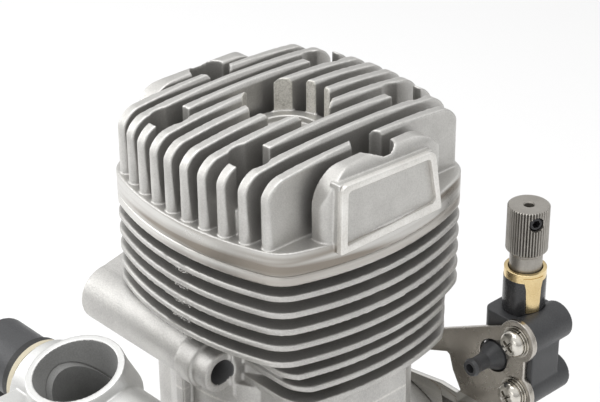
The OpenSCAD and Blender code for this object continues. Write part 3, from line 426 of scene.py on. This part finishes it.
def stretched(tree, value, low, high, out_low=0.0, out_high=1.0):
    """Maps a value from low..high to out_low..out_high, clamped."""
    node = tree.nodes.new("ShaderNodeMapRange")
    node.inputs["From Min"].default_value = low
    node.inputs["From Max"].default_value = high
    node.inputs["To Min"].default_value = out_low
    node.inputs["To Max"].default_value = out_high
    tree.links.new(value, node.inputs["Value"])
    return node.outputs["Result"]


def grain_group():
    """Fine pits of a blasted or moulded surface, with slow patches of tone."""
    tree, start, end = new_group(
        "surface_grain",
        [("Grain mm", 0.3), ("Patch mm", 8.0)],
        [("Height", "NodeSocketFloat"), ("Tone", "NodeSocketFloat")])
    place = tree.nodes.new("ShaderNodeTexCoord").outputs["Object"]
    fine = noise(tree, place, math_node(tree, "DIVIDE", 1000, start.outputs["Grain mm"]), 3, 0.6)
    slow = noise(tree, place, math_node(tree, "DIVIDE", 1000, start.outputs["Patch mm"]), 2, 0.5)
    tree.links.new(stretched(tree, fine, 0.3, 0.7), end.inputs["Height"])
    both = math_node(tree, "ADD", math_node(tree, "MULTIPLY", fine, 0.55),
                     math_node(tree, "MULTIPLY", slow, 0.45))
    tree.links.new(stretched(tree, both, 0.36, 0.64), end.inputs["Tone"])
    return tree


def wear_and_highlight_group():
    """Where a surface turns outwards: edges lightened, partly as real wear and partly as a painted
    highlight, broken up by noise.
    """
    tree, start, end = new_group(
        "edge_wear_and_highlight", [("Width mm", 0.5), ("Break up", 0.5)], [("Mask", "NodeSocketFloat")])
    bevel = tree.nodes.new("ShaderNodeBevel")
    bevel.samples = 4
    width = math_node(tree, "DIVIDE", start.outputs["Width mm"], 1000)
    tree.links.new(width, bevel.inputs["Radius"])
    flat = tree.nodes.new("ShaderNodeNewGeometry").outputs["Normal"]
    dot = tree.nodes.new("ShaderNodeVectorMath")
    dot.operation = "DOT_PRODUCT"
    tree.links.new(bevel.outputs["Normal"], dot.inputs[0])
    tree.links.new(flat, dot.inputs[1])
    turns = stretched(tree, dot.outputs["Value"], 0.995, 0.86)
    # A hollow corner turns too, but it is closed in: nothing rubs it, and it gets no painted
    # highlight
    closeness = tree.nodes.new("ShaderNodeAmbientOcclusion")
    closeness.samples = 4
    closeness.inputs["Distance"].default_value = 1.5 * MM
    edge = math_node(tree, "MULTIPLY", turns, stretched(tree, closeness.outputs["AO"], 0.72, 0.97))
    place = tree.nodes.new("ShaderNodeTexCoord").outputs["Object"]
    rough = stretched(tree, noise(tree, place, 1400, 3, 0.6), 0.35, 0.65)
    broken = math_node(tree, "MULTIPLY", rough, start.outputs["Break up"])
    kept = math_node(tree, "SUBTRACT", 1, broken)
    tree.links.new(math_node(tree, "MULTIPLY", edge, kept), end.inputs["Mask"])
    return tree


def recess_group():
    """Painted shade: how closed in a spot lies between its neighbours, from ambient occlusion; the
    mask darkens deep gaps and hollows where shade falls.
    """
    tree, start, end = new_group(
        "recess", [("Depth mm", 4.0)], [("Mask", "NodeSocketFloat")])
    hidden = tree.nodes.new("ShaderNodeAmbientOcclusion")
    hidden.samples = 6
    tree.links.new(math_node(tree, "DIVIDE", start.outputs["Depth mm"], 1000),
                   hidden.inputs["Distance"])
    tree.links.new(stretched(tree, hidden.outputs["AO"], 0.80, 0.18), end.inputs["Mask"])
    return tree


def band_and_reflection_group():
    """The heights between Low mm and High mm, and streaks that run along that band, which colour
    it with painted reflections.
    """
    tree, start, end = new_group(
        "turned_band_and_reflection", [("Low mm", 0.0), ("High mm", 1.0)],
        [("Mask", "NodeSocketFloat"), ("Streak", "NodeSocketFloat"), ("Fine", "NodeSocketFloat")])
    place = tree.nodes.new("ShaderNodeTexCoord").outputs["Object"]
    split = tree.nodes.new("ShaderNodeSeparateXYZ")
    tree.links.new(place, split.inputs[0])
    height = math_node(tree, "MULTIPLY", split.outputs["Z"], 1000)
    over = math_node(tree, "SUBTRACT", height, start.outputs["Low mm"])
    under = math_node(tree, "SUBTRACT", start.outputs["High mm"], height)
    fade = 0.15
    mask = math_node(tree, "MULTIPLY", stretched(tree, over, 0, fade),
                     stretched(tree, under, 0, fade))
    tree.links.new(mask, end.inputs["Mask"])
    # Lumps a metre along the band and up it, and the noise's range
    for label, along, up, low, high in (("Streak", 22, 420, 0.40, 0.62),
                                        ("Fine", 120, 6000, 0.3, 0.7)):
        scaled = tree.nodes.new("ShaderNodeVectorMath")
        scaled.operation = "MULTIPLY"
        scaled.inputs[1].default_value = (along, along, up)
        tree.links.new(place, scaled.inputs[0])
        tree.links.new(stretched(tree, noise(tree, scaled.outputs[0], 1, 2), low, high),
                       end.inputs[label])
    return tree


GRAIN = grain_group()
WEAR_AND_HIGHLIGHT = wear_and_highlight_group()
PAINTED_SHADE = recess_group()
BAND_AND_REFLECTION = band_and_reflection_group()


def mixed(tree, factor, first, second):
    """A colour mix; each colour is a socket or three numbers."""
    node = tree.nodes.new("ShaderNodeMix")
    node.data_type = "RGBA"
    tree.links.new(factor, node.inputs["Factor"])
    for label, value in (("A", first), ("B", second)):
        if isinstance(value, tuple):
            node.inputs[label].default_value = (*value, 1)
        else:
            tree.links.new(value, node.inputs[label])
    return node.outputs["Result"]


def group_node(tree, group, **values):
    """A shader group placed in a material, with its inputs set."""
    node = tree.nodes.new("ShaderNodeGroup")
    node.node_tree = group
    for label, value in values.items():
        node.inputs[label.replace("_", " ")].default_value = value
    return node


def surface(name, dark, light, metal, rough, grain_mm, patch_mm, bump_mm, edge=None,
            wear_and_highlight_mm=0.5, recess=None, recess_mm=4.0, band=None):
    """A material with grain and patches of tone. edge is the colour of edges, lightened partly as
    wear and partly as a painted highlight; the colour given for deep places is painted shade; and
    band a machined stretch: (low, high) in millimetres, then the dark and light of its streaks,
    which are painted reflections."""
    made = bpy.data.materials.new(name)
    made.use_nodes = True
    tree = made.node_tree
    shader = tree.nodes["Principled BSDF"]
    shader.inputs["Metallic"].default_value = metal
    grain = group_node(tree, GRAIN, Grain_mm=grain_mm, Patch_mm=patch_mm)
    colour = mixed(tree, grain.outputs["Tone"], dark, light)
    matt = stretched(tree, grain.outputs["Tone"], 0, 1, rough + ROUGH_SPREAD,
                     rough - ROUGH_SPREAD)
    relief = grain.outputs["Height"]
    # Edges lightened: partly real wear, partly a painted highlight
    if edge:
        wear_and_highlight_node = group_node(tree, WEAR_AND_HIGHLIGHT, Width_mm=wear_and_highlight_mm)
        colour = mixed(tree, wear_and_highlight_node.outputs["Mask"], colour, edge)
    # Painted shade: a darker colour deep in gaps and hollows
    if recess:
        hidden = group_node(tree, PAINTED_SHADE, Depth_mm=recess_mm)
        colour = mixed(tree, hidden.outputs["Mask"], colour, recess)
    if band:
        # The band's streaked colours are painted reflections; its smoother finish and fine lines
        # are real
        (low, high), painted_reflection_dark, painted_reflection_light = band
        turned_band_and_reflection = group_node(tree, BAND_AND_REFLECTION, Low_mm=low, High_mm=high)
        painted_reflection = mixed(tree, turned_band_and_reflection.outputs["Streak"], painted_reflection_dark, painted_reflection_light)
        colour = mixed(tree, turned_band_and_reflection.outputs["Mask"], colour, painted_reflection)
        smooth = math_node(tree, "MULTIPLY", turned_band_and_reflection.outputs["Mask"], BAND_SMOOTHER)
        matt = math_node(tree, "SUBTRACT", matt, smooth)
        kept = math_node(tree, "SUBTRACT", 1, turned_band_and_reflection.outputs["Mask"])
        lines = math_node(tree, "MULTIPLY", turned_band_and_reflection.outputs["Fine"], 0.12)
        relief = math_node(tree, "ADD", math_node(tree, "MULTIPLY", relief, kept),
                           math_node(tree, "MULTIPLY", lines, turned_band_and_reflection.outputs["Mask"]))
    tree.links.new(colour, shader.inputs["Base Color"])
    tree.links.new(matt, shader.inputs["Roughness"])
    bump = tree.nodes.new("ShaderNodeBump")
    bump.inputs["Strength"].default_value = 1
    bump.inputs["Distance"].default_value = bump_mm * MM
    tree.links.new(relief, bump.inputs["Height"])
    tree.links.new(bump.outputs["Normal"], shader.inputs["Normal"])
    return made


# Machined stretches: the head's flange, the barrel's deck and the arm of the needle's bracket.
# Their streaked colours are painted reflections, and the arm's light band is a painted highlight
HEAD_BAND_AND_REFLECTION = ((DECK_Z - 0.5, HEAD_Z - 0.12), (0.28, 0.25, 0.215), (0.64, 0.63, 0.605))
DECK_BAND_AND_REFLECTION = ((DECK_Z - DECK_T + 0.1, DECK_Z + 1), (0.46, 0.43, 0.395), (0.66, 0.65, 0.62))
ARM_BAND_AND_HIGHLIGHT = ((-5, 28), (0.70, 0.69, 0.66), (0.80, 0.79, 0.76))

# Every finish, from two tones of its colour. The colours given for deep places are painted shade,
# and those given for edges are partly wear and partly a painted highlight
# The head's very light edge colour is a painted highlight on the fins' rounded tops and fronts
HEAD_CAST = surface(
    "head casting", (0.52, 0.51, 0.49), (0.64, 0.63, 0.605), metal=0.92, rough=0.46,
    grain_mm=0.28, patch_mm=6, bump_mm=0.022, edge=(0.96, 0.95, 0.92), wear_and_highlight_mm=1.0,
    recess=(0.50, 0.49, 0.475), recess_mm=6, band=HEAD_BAND_AND_REFLECTION)
CAST = surface(
    "case casting", (0.50, 0.49, 0.475), (0.63, 0.62, 0.595), metal=0.9, rough=0.50,
    grain_mm=0.32, patch_mm=7, bump_mm=0.030, edge=(0.86, 0.84, 0.80), wear_and_highlight_mm=0.7,
    recess=(0.40, 0.392, 0.38), recess_mm=4, band=DECK_BAND_AND_REFLECTION)
# The rim's light colour is partly its rubbed finish and partly a painted highlight
RUBBED_RIM_AND_HIGHLIGHT = surface(
    "rubbed rim and painted highlight", (0.74, 0.72, 0.68), (0.90, 0.885, 0.85), metal=0.75, rough=0.38, grain_mm=0.35,
    patch_mm=4, bump_mm=0.014, edge=(0.95, 0.94, 0.91), wear_and_highlight_mm=0.4)
SATIN = surface(
    "satin aluminium", (0.68, 0.68, 0.67), (0.78, 0.78, 0.76), metal=0.85, rough=0.42,
    grain_mm=0.2, patch_mm=8, bump_mm=0.008, edge=(0.90, 0.89, 0.86), wear_and_highlight_mm=0.5,
    recess=(0.30, 0.30, 0.295), recess_mm=9)
TURNED = surface(
    "turned aluminium", (0.60, 0.60, 0.59), (0.72, 0.72, 0.70), metal=1.0, rough=0.30,
    grain_mm=0.12, patch_mm=5, bump_mm=0.008, edge=(0.86, 0.86, 0.84), wear_and_highlight_mm=0.3)
PLATE = surface(
    "nickelled plate", (0.47, 0.44, 0.395), (0.54, 0.505, 0.455), metal=1.0, rough=0.26,
    grain_mm=2, patch_mm=25, bump_mm=0.002, edge=(0.95, 0.93, 0.88), wear_and_highlight_mm=0.45, band=ARM_BAND_AND_HIGHLIGHT)
# Painted shade: a dark colour for the inside of the carburettor's intake and the throttle rotor
# within it
PAINTED_SHADE_BORE = surface(
    "painted shade in bores", (0.25, 0.25, 0.245), (0.33, 0.33, 0.322), metal=0.2, rough=0.55, grain_mm=0.3,
    patch_mm=5, bump_mm=0.01)
# Painted shade: a dark matt colour inside the muffler bolts' holes
PAINTED_SHADE_PIT = surface(
    "painted shade in holes", (0.12, 0.12, 0.122), (0.15, 0.15, 0.152), metal=0.0, rough=0.7, grain_mm=0.3,
    patch_mm=5, bump_mm=0.01)
WELL = surface(
    "bored fin ends", (0.50, 0.48, 0.43), (0.98, 0.96, 0.90), metal=0.35, rough=0.32,
    grain_mm=0.35, patch_mm=3.5, bump_mm=0.012, edge=(0.98, 0.97, 0.94), wear_and_highlight_mm=0.3)
NICKEL = surface(
    "nickel plate", (0.66, 0.63, 0.57), (0.76, 0.73, 0.67), metal=1.0, rough=0.16, grain_mm=0.5,
    patch_mm=3, bump_mm=0.004, edge=(0.95, 0.93, 0.88), wear_and_highlight_mm=0.2, recess=(0.10, 0.09, 0.075),
    recess_mm=1.2)
GROUND = surface(
    "ground steel", (0.48, 0.48, 0.49), (0.60, 0.60, 0.61), metal=1.0, rough=0.24, grain_mm=0.15,
    patch_mm=6, bump_mm=0.005)
KNOB = surface(
    "knurled steel", (0.35, 0.33, 0.30), (0.44, 0.42, 0.385), metal=0.85, rough=0.42,
    grain_mm=0.25, patch_mm=3, bump_mm=0.010, edge=(0.58, 0.56, 0.52), wear_and_highlight_mm=0.12,
    recess=(0.11, 0.10, 0.09), recess_mm=0.8)
BLACKENED = surface(
    "blackened steel", (0.022, 0.022, 0.024), (0.035, 0.035, 0.037), metal=0.3, rough=0.30,
    grain_mm=0.25, patch_mm=4, bump_mm=0.008, edge=(0.10, 0.10, 0.10), wear_and_highlight_mm=0.2)
GLOSS_BLACK = surface(
    "black nylon", (0.032, 0.032, 0.033), (0.042, 0.042, 0.044), metal=0.0, rough=0.26,
    grain_mm=0.4, patch_mm=8, bump_mm=0.003, edge=(0.07, 0.07, 0.072), wear_and_highlight_mm=0.3)
BRASS = surface(
    "turned brass", (0.70, 0.53, 0.27), (0.82, 0.65, 0.36), metal=1.0, rough=0.25, grain_mm=0.3,
    patch_mm=6, bump_mm=0.003, edge=(0.95, 0.80, 0.50), wear_and_highlight_mm=0.25)
COPPER = surface(
    "rolled copper", (0.55, 0.28, 0.16), (0.66, 0.36, 0.22), metal=1.0, rough=0.35, grain_mm=0.3,
    patch_mm=5, bump_mm=0.01)
PAPER = surface(
    "pressed fibre", (0.20, 0.14, 0.09), (0.28, 0.21, 0.14), metal=0.0, rough=0.85, grain_mm=0.25,
    patch_mm=4, bump_mm=0.03)
CREAM = surface(
    "cream plastic", (0.56, 0.50, 0.36), (0.66, 0.60, 0.46), metal=0.0, rough=0.5, grain_mm=0.3,
    patch_mm=5, bump_mm=0.01)
PLASTIC = surface(
    "moulded plastic", (0.040, 0.041, 0.044), (0.060, 0.061, 0.064), metal=0.0, rough=0.40,
    grain_mm=0.3, patch_mm=5, bump_mm=0.016, edge=(0.11, 0.11, 0.115), wear_and_highlight_mm=0.4)
RUBBER = surface(
    "rubber", (0.012, 0.012, 0.012), (0.022, 0.022, 0.022), metal=0.0, rough=0.50, grain_mm=0.5,
    patch_mm=5, bump_mm=0.02)


# Castings

def crankcase():
    """The crankcase casting in two pieces that meet below the exhaust duct."""
    whole = blasted("crankcase", "case_upper", 0.32, 3, 330000)
    lower = linked("case_lower", whole.data.copy())
    for piece, keep_above in ((whole, True), (lower, False)):
        bm = bmesh.new()
        bm.from_mesh(piece.data)
        cut = bmesh.ops.bisect_plane(
            bm, geom=bm.verts[:] + bm.edges[:] + bm.faces[:],
            plane_co=(0, 0, CASE_SPLIT_Z * MM), plane_no=(0, 0, 1),
            clear_inner=keep_above, clear_outer=not keep_above)
        rim = [e for e in cut["geom_cut"] if isinstance(e, bmesh.types.BMEdge)]
        bmesh.ops.triangle_fill(bm, use_beauty=True, edges=rim)
        bmesh.ops.recalc_face_normals(bm, faces=bm.faces)
        bm.to_mesh(piece.data)
        bm.free()
    put(whole, "engine", "cast_aluminium", CAST, "crankcase", angle=60)
    # Painted shade inside the bolt holes
    bored(whole, PAINTED_SHADE_PIT, in_bolt_hole)
    put(lower, "engine", "cast_aluminium", CAST, "crankcase", angle=60)


def bored(piece, material, inside):
    """Gives the faces whose middle lies inside a bore a material of their own."""
    piece.data.materials.append(material)
    for face in piece.data.polygons:
        if inside(face.center / MM):
            face.material_index = len(piece.data.materials) - 1


def in_bolt_hole(point):
    """Inside one of the two holes for the muffler's bolts."""
    across = abs(point.y - CYLINDER_Y) - BOLT_HALF
    return math.hypot(across, point.z - EXHAUST_Z) < BOLT_HOLE_R


def on_well(point):
    """On a fin end that was bored away round the glow plug."""
    reach = math.hypot(point.x, point.y - CYLINDER_Y)
    return abs(reach - PLUG_WELL_R) < WELL_SKIN and point.z > PLUG_BOSS_Z


def in_intake(point):
    """Inside the carburettor's intake, below its rim."""
    local = INTAKE_TILT @ (point - MOUTH)
    return local.z < -0.15 and math.hypot(local.x, local.y) < INTAKE_R + 0.05


def without_rim(shape):
    """Takes the CAD's square-cornered rim off the head, for the finer one that stands there."""
    for vertex in shape.data.vertices:
        if vertex.co.x > (RIM_X - 0.2) * MM:
            vertex.co.x = FIELD_X * MM


def cylinder_head():
    """The finned head, and the bright rim on its port side."""
    head = blasted("cylinder_head", "head_casting", 0.22, 3, 195000, before=without_rim)
    put(head, "engine", "cast_aluminium", HEAD_CAST, "cylinder_head", angle=60)
    bored(head, WELL, on_well)
    # The rim is drawn flat, rooted below the field, and then stood on the head's side
    rim = prism("plate_rim", rounded(RIM_OUTER), FIELD_X - 0.6, RIM_X)
    cut_by(rim, prism("field", rounded(RIM_INNER), FIELD_X - 2, RIM_X + 1))
    onto_side = Matrix(((0, 0, 1, 0), (1, 0, 0, CYLINDER_Y * MM), (0, 1, 0, HEAD_Z * MM),
                        (0, 0, 0, 1)))
    moved(rim, onto_side)
    put(bevelled(rim, 0.22, 3, 40), "engine", "cast_aluminium", RUBBED_RIM_AND_HIGHLIGHT, angle=50)


def mould_flash():
    """Torn crumbs of flash down the front of the barrel, where the mould's halves met."""
    chance = random.Random(4)
    places = []
    for fin in range(FLASH_FINS):
        z = TOP_FIN_Z - fin * FIN_PITCH
        for _ in range(CRUMBS_A_FIN):
            x = chance.gauss(FLASH_X, 1.2)
            low = chance.random() ** 2 * 1.3
            places.append((x, BARREL_FRONT_Y + 0.12 + 0.4 * low, z - FIN_T / 2 - low + 0.45))
    # One crumb: a small ball, dented by chance and flattened
    bm = bmesh.new()
    bmesh.ops.create_icosphere(bm, subdivisions=1, radius=CRUMB_R * MM)
    for vertex in bm.verts:
        vertex.co *= 1 + chance.uniform(-0.45, 0.45)
        vertex.co.z *= 0.6
    crumb = from_bmesh("crumb", bm)
    put(set_out("mould_flash", crumb, places, (0.4, 0.2, 0), CAST, twist=6.28, spread=0.6, seed=7),
        "engine", "cast_aluminium", CAST, angle=30)


def small_castings():
    """Carburettor body, rear cover, and the two plastic mouldings."""
    carburettor = put(blasted("carburettor_body", "carburettor_casting", 0.2, 3, 150000),
                      "engine", "machined_aluminium", SATIN, "carburettor_body", angle=50)
    # Painted shade inside the intake
    bored(carburettor, PAINTED_SHADE_BORE, in_intake)
    put(blasted("rear_cover", "rear_cover_casting", 0.35, 2, 60000), "engine",
        "cast_aluminium", CAST, "rear_cover", angle=50)
    put(blasted("needle_holder", "needle_holder_moulding", 0.18, 5, 90000), "engine",
        "grey_plastic", PLASTIC, "needle_holder", angle=50)
    put(blasted("throttle_lever", "throttle_lever_moulding", 0.20, 3, 60000), "throttle",
        "grey_plastic", PLASTIC, "throttle_lever", angle=50)


# Needle valve and its bracket

def needle_knob():
    """The serrated knob with its neck, needle and set-screw seat."""
    points = []
    for tooth in range(KNOB_TEETH):
        for share, radius in ((0.0, KNOB_R), (0.30, KNOB_R), (0.65, KNOB_R - TOOTH_DEPTH)):
            angle = 2 * math.pi * (tooth + share) / KNOB_TEETH
            points.append((radius * math.cos(angle), radius * math.sin(angle)))
    low = KNOB_TOP - KNOB_LEN
    grip = prism("knob", points, low, KNOB_TOP)
    # Both ends of the grip are chamfered by a turned sleeve
    cut_by(grip, turned("chamfer", [(KNOB_R - 0.35, KNOB_TOP + 0.1), (KNOB_R + 1, KNOB_TOP + 0.1),
                                    (KNOB_R + 1, KNOB_TOP - 1.0)]),
           turned("under chamfer", [(KNOB_R - 1.0, low - 0.1), (KNOB_R + 1, low + 1.7),
                                    (KNOB_R + 1, low - 0.1)]),
           turned("eye", [(0, KNOB_TOP - 4), (1.0, KNOB_TOP - 4), (1.0, KNOB_TOP - 0.25),
                          (1.3, KNOB_TOP + 0.1), (0, KNOB_TOP + 0.1)], 24),
           radial(turned("seat", [(0, 1.5), (1.5, 1.5), (1.5, 3.5), (1.75, 6), (0, 6)], 32)))
    stem = turned("stem", [(0, 36.4), (0.3, 36.4), (1.0, 40.2), (1.0, 56), (NECK_R, 56),
                           (NECK_R, low - 0.3), (NECK_R + 0.25, low), (NECK_R + 0.25, low + 0.5),
                           (0, low + 0.5)], 40)
    knob = moved(joined("needle_knob", grip, stem), NEEDLE_AXIS)
    put(knob, "needle", "dark_steel", KNOB, "needle_valve", angle=22)
    screw = turned("set_screw", [(0, 1.3), (SET_SCREW_R, 1.3), (SET_SCREW_R, 3.45),
                                 (SET_SCREW_R - 0.2, 3.65), (0, 3.65)], 32)
    cut_by(screw, prism("socket", hexagon(0.85), 2.3, 5))
    put(moved(radial(screw), NEEDLE_AXIS), "needle", "black_steel", BLACKENED,
        "needle_set_screw", angle=30)


def ratchet_spring():
    """The brass ring round the needle's neck, with its tongue down the sleeve."""
    inner, outer = NECK_R + 0.12, SLEEVE_R - 0.05
    ring = turned("ring", [(inner, COLLAR_Z - COLLAR_H), (outer, COLLAR_Z - COLLAR_H),
                           (outer, COLLAR_Z - 0.1), (SLEEVE_R - 0.2, COLLAR_Z),
                           (NECK_R + 0.25, COLLAR_Z), (inner, COLLAR_Z - 0.12)], 64)
    back, front = SLEEVE_R - 0.75, SLEEVE_R + 0.1
    low, high = SLEEVE_Z + 0.9, COLLAR_Z - 0.8
    tongue = turned("tongue", [(back, low), (front, low), (front, high), (back, high)], 96)
    outline = prism("outline", [(-1.35, SLEEVE_Z), (1.35, SLEEVE_Z), (1.6, COLLAR_Z - 3.2),
                                (2.3, COLLAR_Z), (-2.3, COLLAR_Z), (-1.6, COLLAR_Z - 3.2)], 0, 6)
    cut_by(tongue, moved(outline, Matrix.Rotation(math.radians(90), 4, "X")), keep=True)
    moved(tongue, Matrix.Rotation(math.radians(TONGUE_TURN), 4, "Z"))
    spring = moved(joined("needle_ratchet_spring", ring, tongue), NEEDLE_AXIS)
    put(spring, "engine", "brass", BRASS, "needle_ratchet", angle=35)


def radial(piece):
    """Lays a piece that stands along Z down along the set screw's axis."""
    turn = Matrix.Rotation(math.radians(SET_SCREW_TURN), 4, "Z")
    lay = Matrix.Rotation(math.radians(90), 4, "X")
    lift = Matrix.Translation((0, 0, (KNOB_TOP - SET_SCREW_DROP) * MM))
    return moved(piece, lift @ turn @ lay)


def hexagon(radius):
    """The corners of a hexagon."""
    return [(radius * math.cos(math.radians(60 * i)), radius * math.sin(math.radians(60 * i)))
            for i in range(6)]


def bracket_fasteners():
    """Cross-head screws with their flat and split washers, on the needle's bracket."""
    seat = PLATE_Y - WASHER_T
    head = turned("pan_head", [
        (0, 2.0), (1.2, 1.95), (1.9, 1.75), (2.35, 1.4), (2.62, 0.95), (PAN_R, 0.45), (2.7, 0.1),
        (2.5, 0), (THREAD_R, 0), (THREAD_R, -12), (0, -12)], 56)
    arm, wide = 1.75, 0.42
    cross = prism("cross", [(wide, wide), (wide, arm), (-wide, arm), (-wide, wide), (-arm, wide),
                            (-arm, -wide), (-wide, -wide), (-wide, -arm), (wide, -arm),
                            (wide, -wide), (arm, -wide), (arm, wide)], 0.85, 3)
    # The cross narrows towards its foot
    for vertex in cross.data.vertices:
        if vertex.co.z < 1.5 * MM:
            vertex.co.xy *= 0.6
    bevelled(cut_by(head, cross), 0.06, 2, 35)
    forward = (math.pi / 2, 0, 0)
    places = [(x, seat, z) for x, z in BRACKET_SCREWS]
    screws = set_out("bracket_screw_set", head, places, forward, NICKEL, twist=1.0, seed=3)
    put(screws, "engine", "nickel_steel", NICKEL, "bracket_screws", angle=35)
    hole, edge = THREAD_R + 0.1, 0.05
    # The split washer lies just clear of the flat one
    low = FLAT_T + 0.02
    flat = turned("flat_washer", [(hole, 0), (3.25, 0), (3.3, edge), (3.3, FLAT_T - edge),
                                  (3.25, FLAT_T), (hole, FLAT_T)], 48)
    split = turned("split_washer", [(hole, low), (2.85, low), (2.9, low + edge), (2.9, 0.66),
                                    (2.85, WASHER_T), (hole, WASHER_T)], 48)
    cut_by(split, prism("split", [(1, -0.2), (4, 0.1), (4, 0.4), (1, 0.1)], 0.26, 1))
    washer = joined("washer_pair", flat, split)
    places = [(x, PLATE_Y, z) for x, z in BRACKET_SCREWS]
    washers = set_out("bracket_washer_set", washer, places, forward, NICKEL, twist=5.0, seed=8)
    put(washers, "engine", "nickel_steel", NICKEL, "bracket_washers", angle=35)


crankcase()
cylinder_head()
mould_flash()
small_castings()
needle_knob()
ratchet_spring()
bracket_fasteners()
put(bevelled(copy_of("needle_bracket", "needle_bracket_plate"), 0.2, 3, 30), "engine",
    "nickel_steel", PLATE, "needle_bracket")
put(bevelled(copy_of("needle_sleeve", "needle_sleeve_tube"), 0.25, 3, 30), "engine",
    "black_steel", GLOSS_BLACK, "needle_sleeve")

dress(TURNED, "drive_washer", "prop_nut", "connecting_rod", "piston")
dress(NICKEL, "prop_washer", "lever_screw", "throttle_stop_screw", "cylinder_liner")
dress(GROUND, "piston_ring", "wrist_pin", "wrist_pin_clips", "crank_pin", "crankshaft",
      "rear_bearing_outer", "rear_bearing_inner", "rear_bearing_balls", "front_bearing_outer",
      "front_bearing_inner", "front_bearing_balls", "throttle_stop_spring")
# Painted shade on the throttle rotor inside the carburettor
dress(PAINTED_SHADE_BORE, "throttle_rotor")
dress(BRASS, "rear_bearing_cage", "front_bearing_cage", "drive_collet", "small_end_bush",
      "big_end_bush", "idle_mixture_screw")
dress(CREAM, "rotor_disc")
dress(COPPER, "head_gasket")
dress(PAPER, "rear_cover_gasket")
dress(BLACKENED, "head_screws", "rear_cover_screws", "carburettor_screws", "carburettor_nipple")
dress(PLASTIC, "holder_nipple")
dress(RUBBER, "carburettor_seal", "rotor_boot")


# Camera, floor and light

def camera():
    """The photograph's camera, from its place and its three turns."""
    turn = math.radians(CAMERA_TURN)
    rise = math.radians(CAMERA_RISE)
    roll = math.radians(CAMERA_ROLL)
    back = Vector((math.sin(turn) * math.cos(rise), -math.cos(turn) * math.cos(rise),
                   math.sin(rise)))
    across = Vector((math.cos(turn), math.sin(turn), 0))
    upright = back.cross(across)
    right = across * math.cos(roll) + upright * math.sin(roll)
    up = upright * math.cos(roll) - across * math.sin(roll)
    data = bpy.data.cameras.new("camera")
    data.lens = LENS
    data.sensor_width = 36
    data.clip_start = 0.01
    seen = linked("camera", data)
    place = Matrix((right, up, back)).transposed().to_4x4()
    place.translation = Vector(CAMERA_PLACE) * MM
    seen.matrix_world = place
    bpy.context.scene.camera = seen


def lamp(name, place, aim, width, power):
    """A square soft box at place, in millimetres, that faces aim."""
    data = bpy.data.lights.new(name, "AREA")
    data.shape = "SQUARE"
    data.size = width * MM
    data.energy = power
    lit = linked(name, data)
    away = (Vector(place) - Vector(aim)) * MM
    lit.matrix_world = away.to_track_quat("Z", "Y").to_matrix().to_4x4()
    lit.location = Vector(place) * MM


def studio():
    """A pale floor under the engine, soft boxes above, and a bright surround."""
    floor_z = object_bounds()[0][2]
    bm = bmesh.new()
    bmesh.ops.create_grid(bm, x_segments=1, y_segments=1, size=6)
    bmesh.ops.translate(bm, verts=bm.verts, vec=(0, 0, floor_z - 0.0002))
    floor = from_bmesh("floor", bm)
    pale = bpy.data.materials.new("pale floor")
    pale.use_nodes = True
    paint = pale.node_tree.nodes["Principled BSDF"]
    paint.inputs["Base Color"].default_value = (0.93, 0.93, 0.93, 1)
    paint.inputs["Roughness"].default_value = 0.7
    floor.data.materials.append(pale)
    floor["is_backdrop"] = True
    world = bpy.data.worlds.new("studio")
    bpy.context.scene.world = world
    world.use_nodes = True
    tree = world.node_tree
    sky = tree.nodes["Background"]
    ramp = tree.nodes.new("ShaderNodeValToRGB")
    ramp.color_ramp.elements[0].position = 0.48
    ramp.color_ramp.elements[0].color = (0.42, 0.42, 0.42, 1)
    ramp.color_ramp.elements[1].position = 0.85
    ramp.color_ramp.elements[1].color = (1, 1, 1, 1)
    split = tree.nodes.new("ShaderNodeSeparateXYZ")
    where = tree.nodes.new("ShaderNodeTexCoord")
    tree.links.new(where.outputs["Generated"], split.inputs[0])
    up = math_node(tree, "ADD", math_node(tree, "MULTIPLY", split.outputs["Z"], 0.5), 0.5)
    tree.links.new(up, ramp.inputs["Fac"])
    tree.links.new(ramp.outputs["Color"], sky.inputs["Color"])
    sky.inputs["Strength"].default_value = 0.9
    lamp("top box", (-60, 40, 520), (0, 80, 60), 420, 0.9)
    lamp("left box", (-420, -180, 260), (0, 70, 50), 320, 0.8)
    lamp("front box", (200, -420, 180), (0, 70, 50), 260, 0.2)


camera()
studio()
bpy.context.scene.view_settings.view_transform = "Standard"
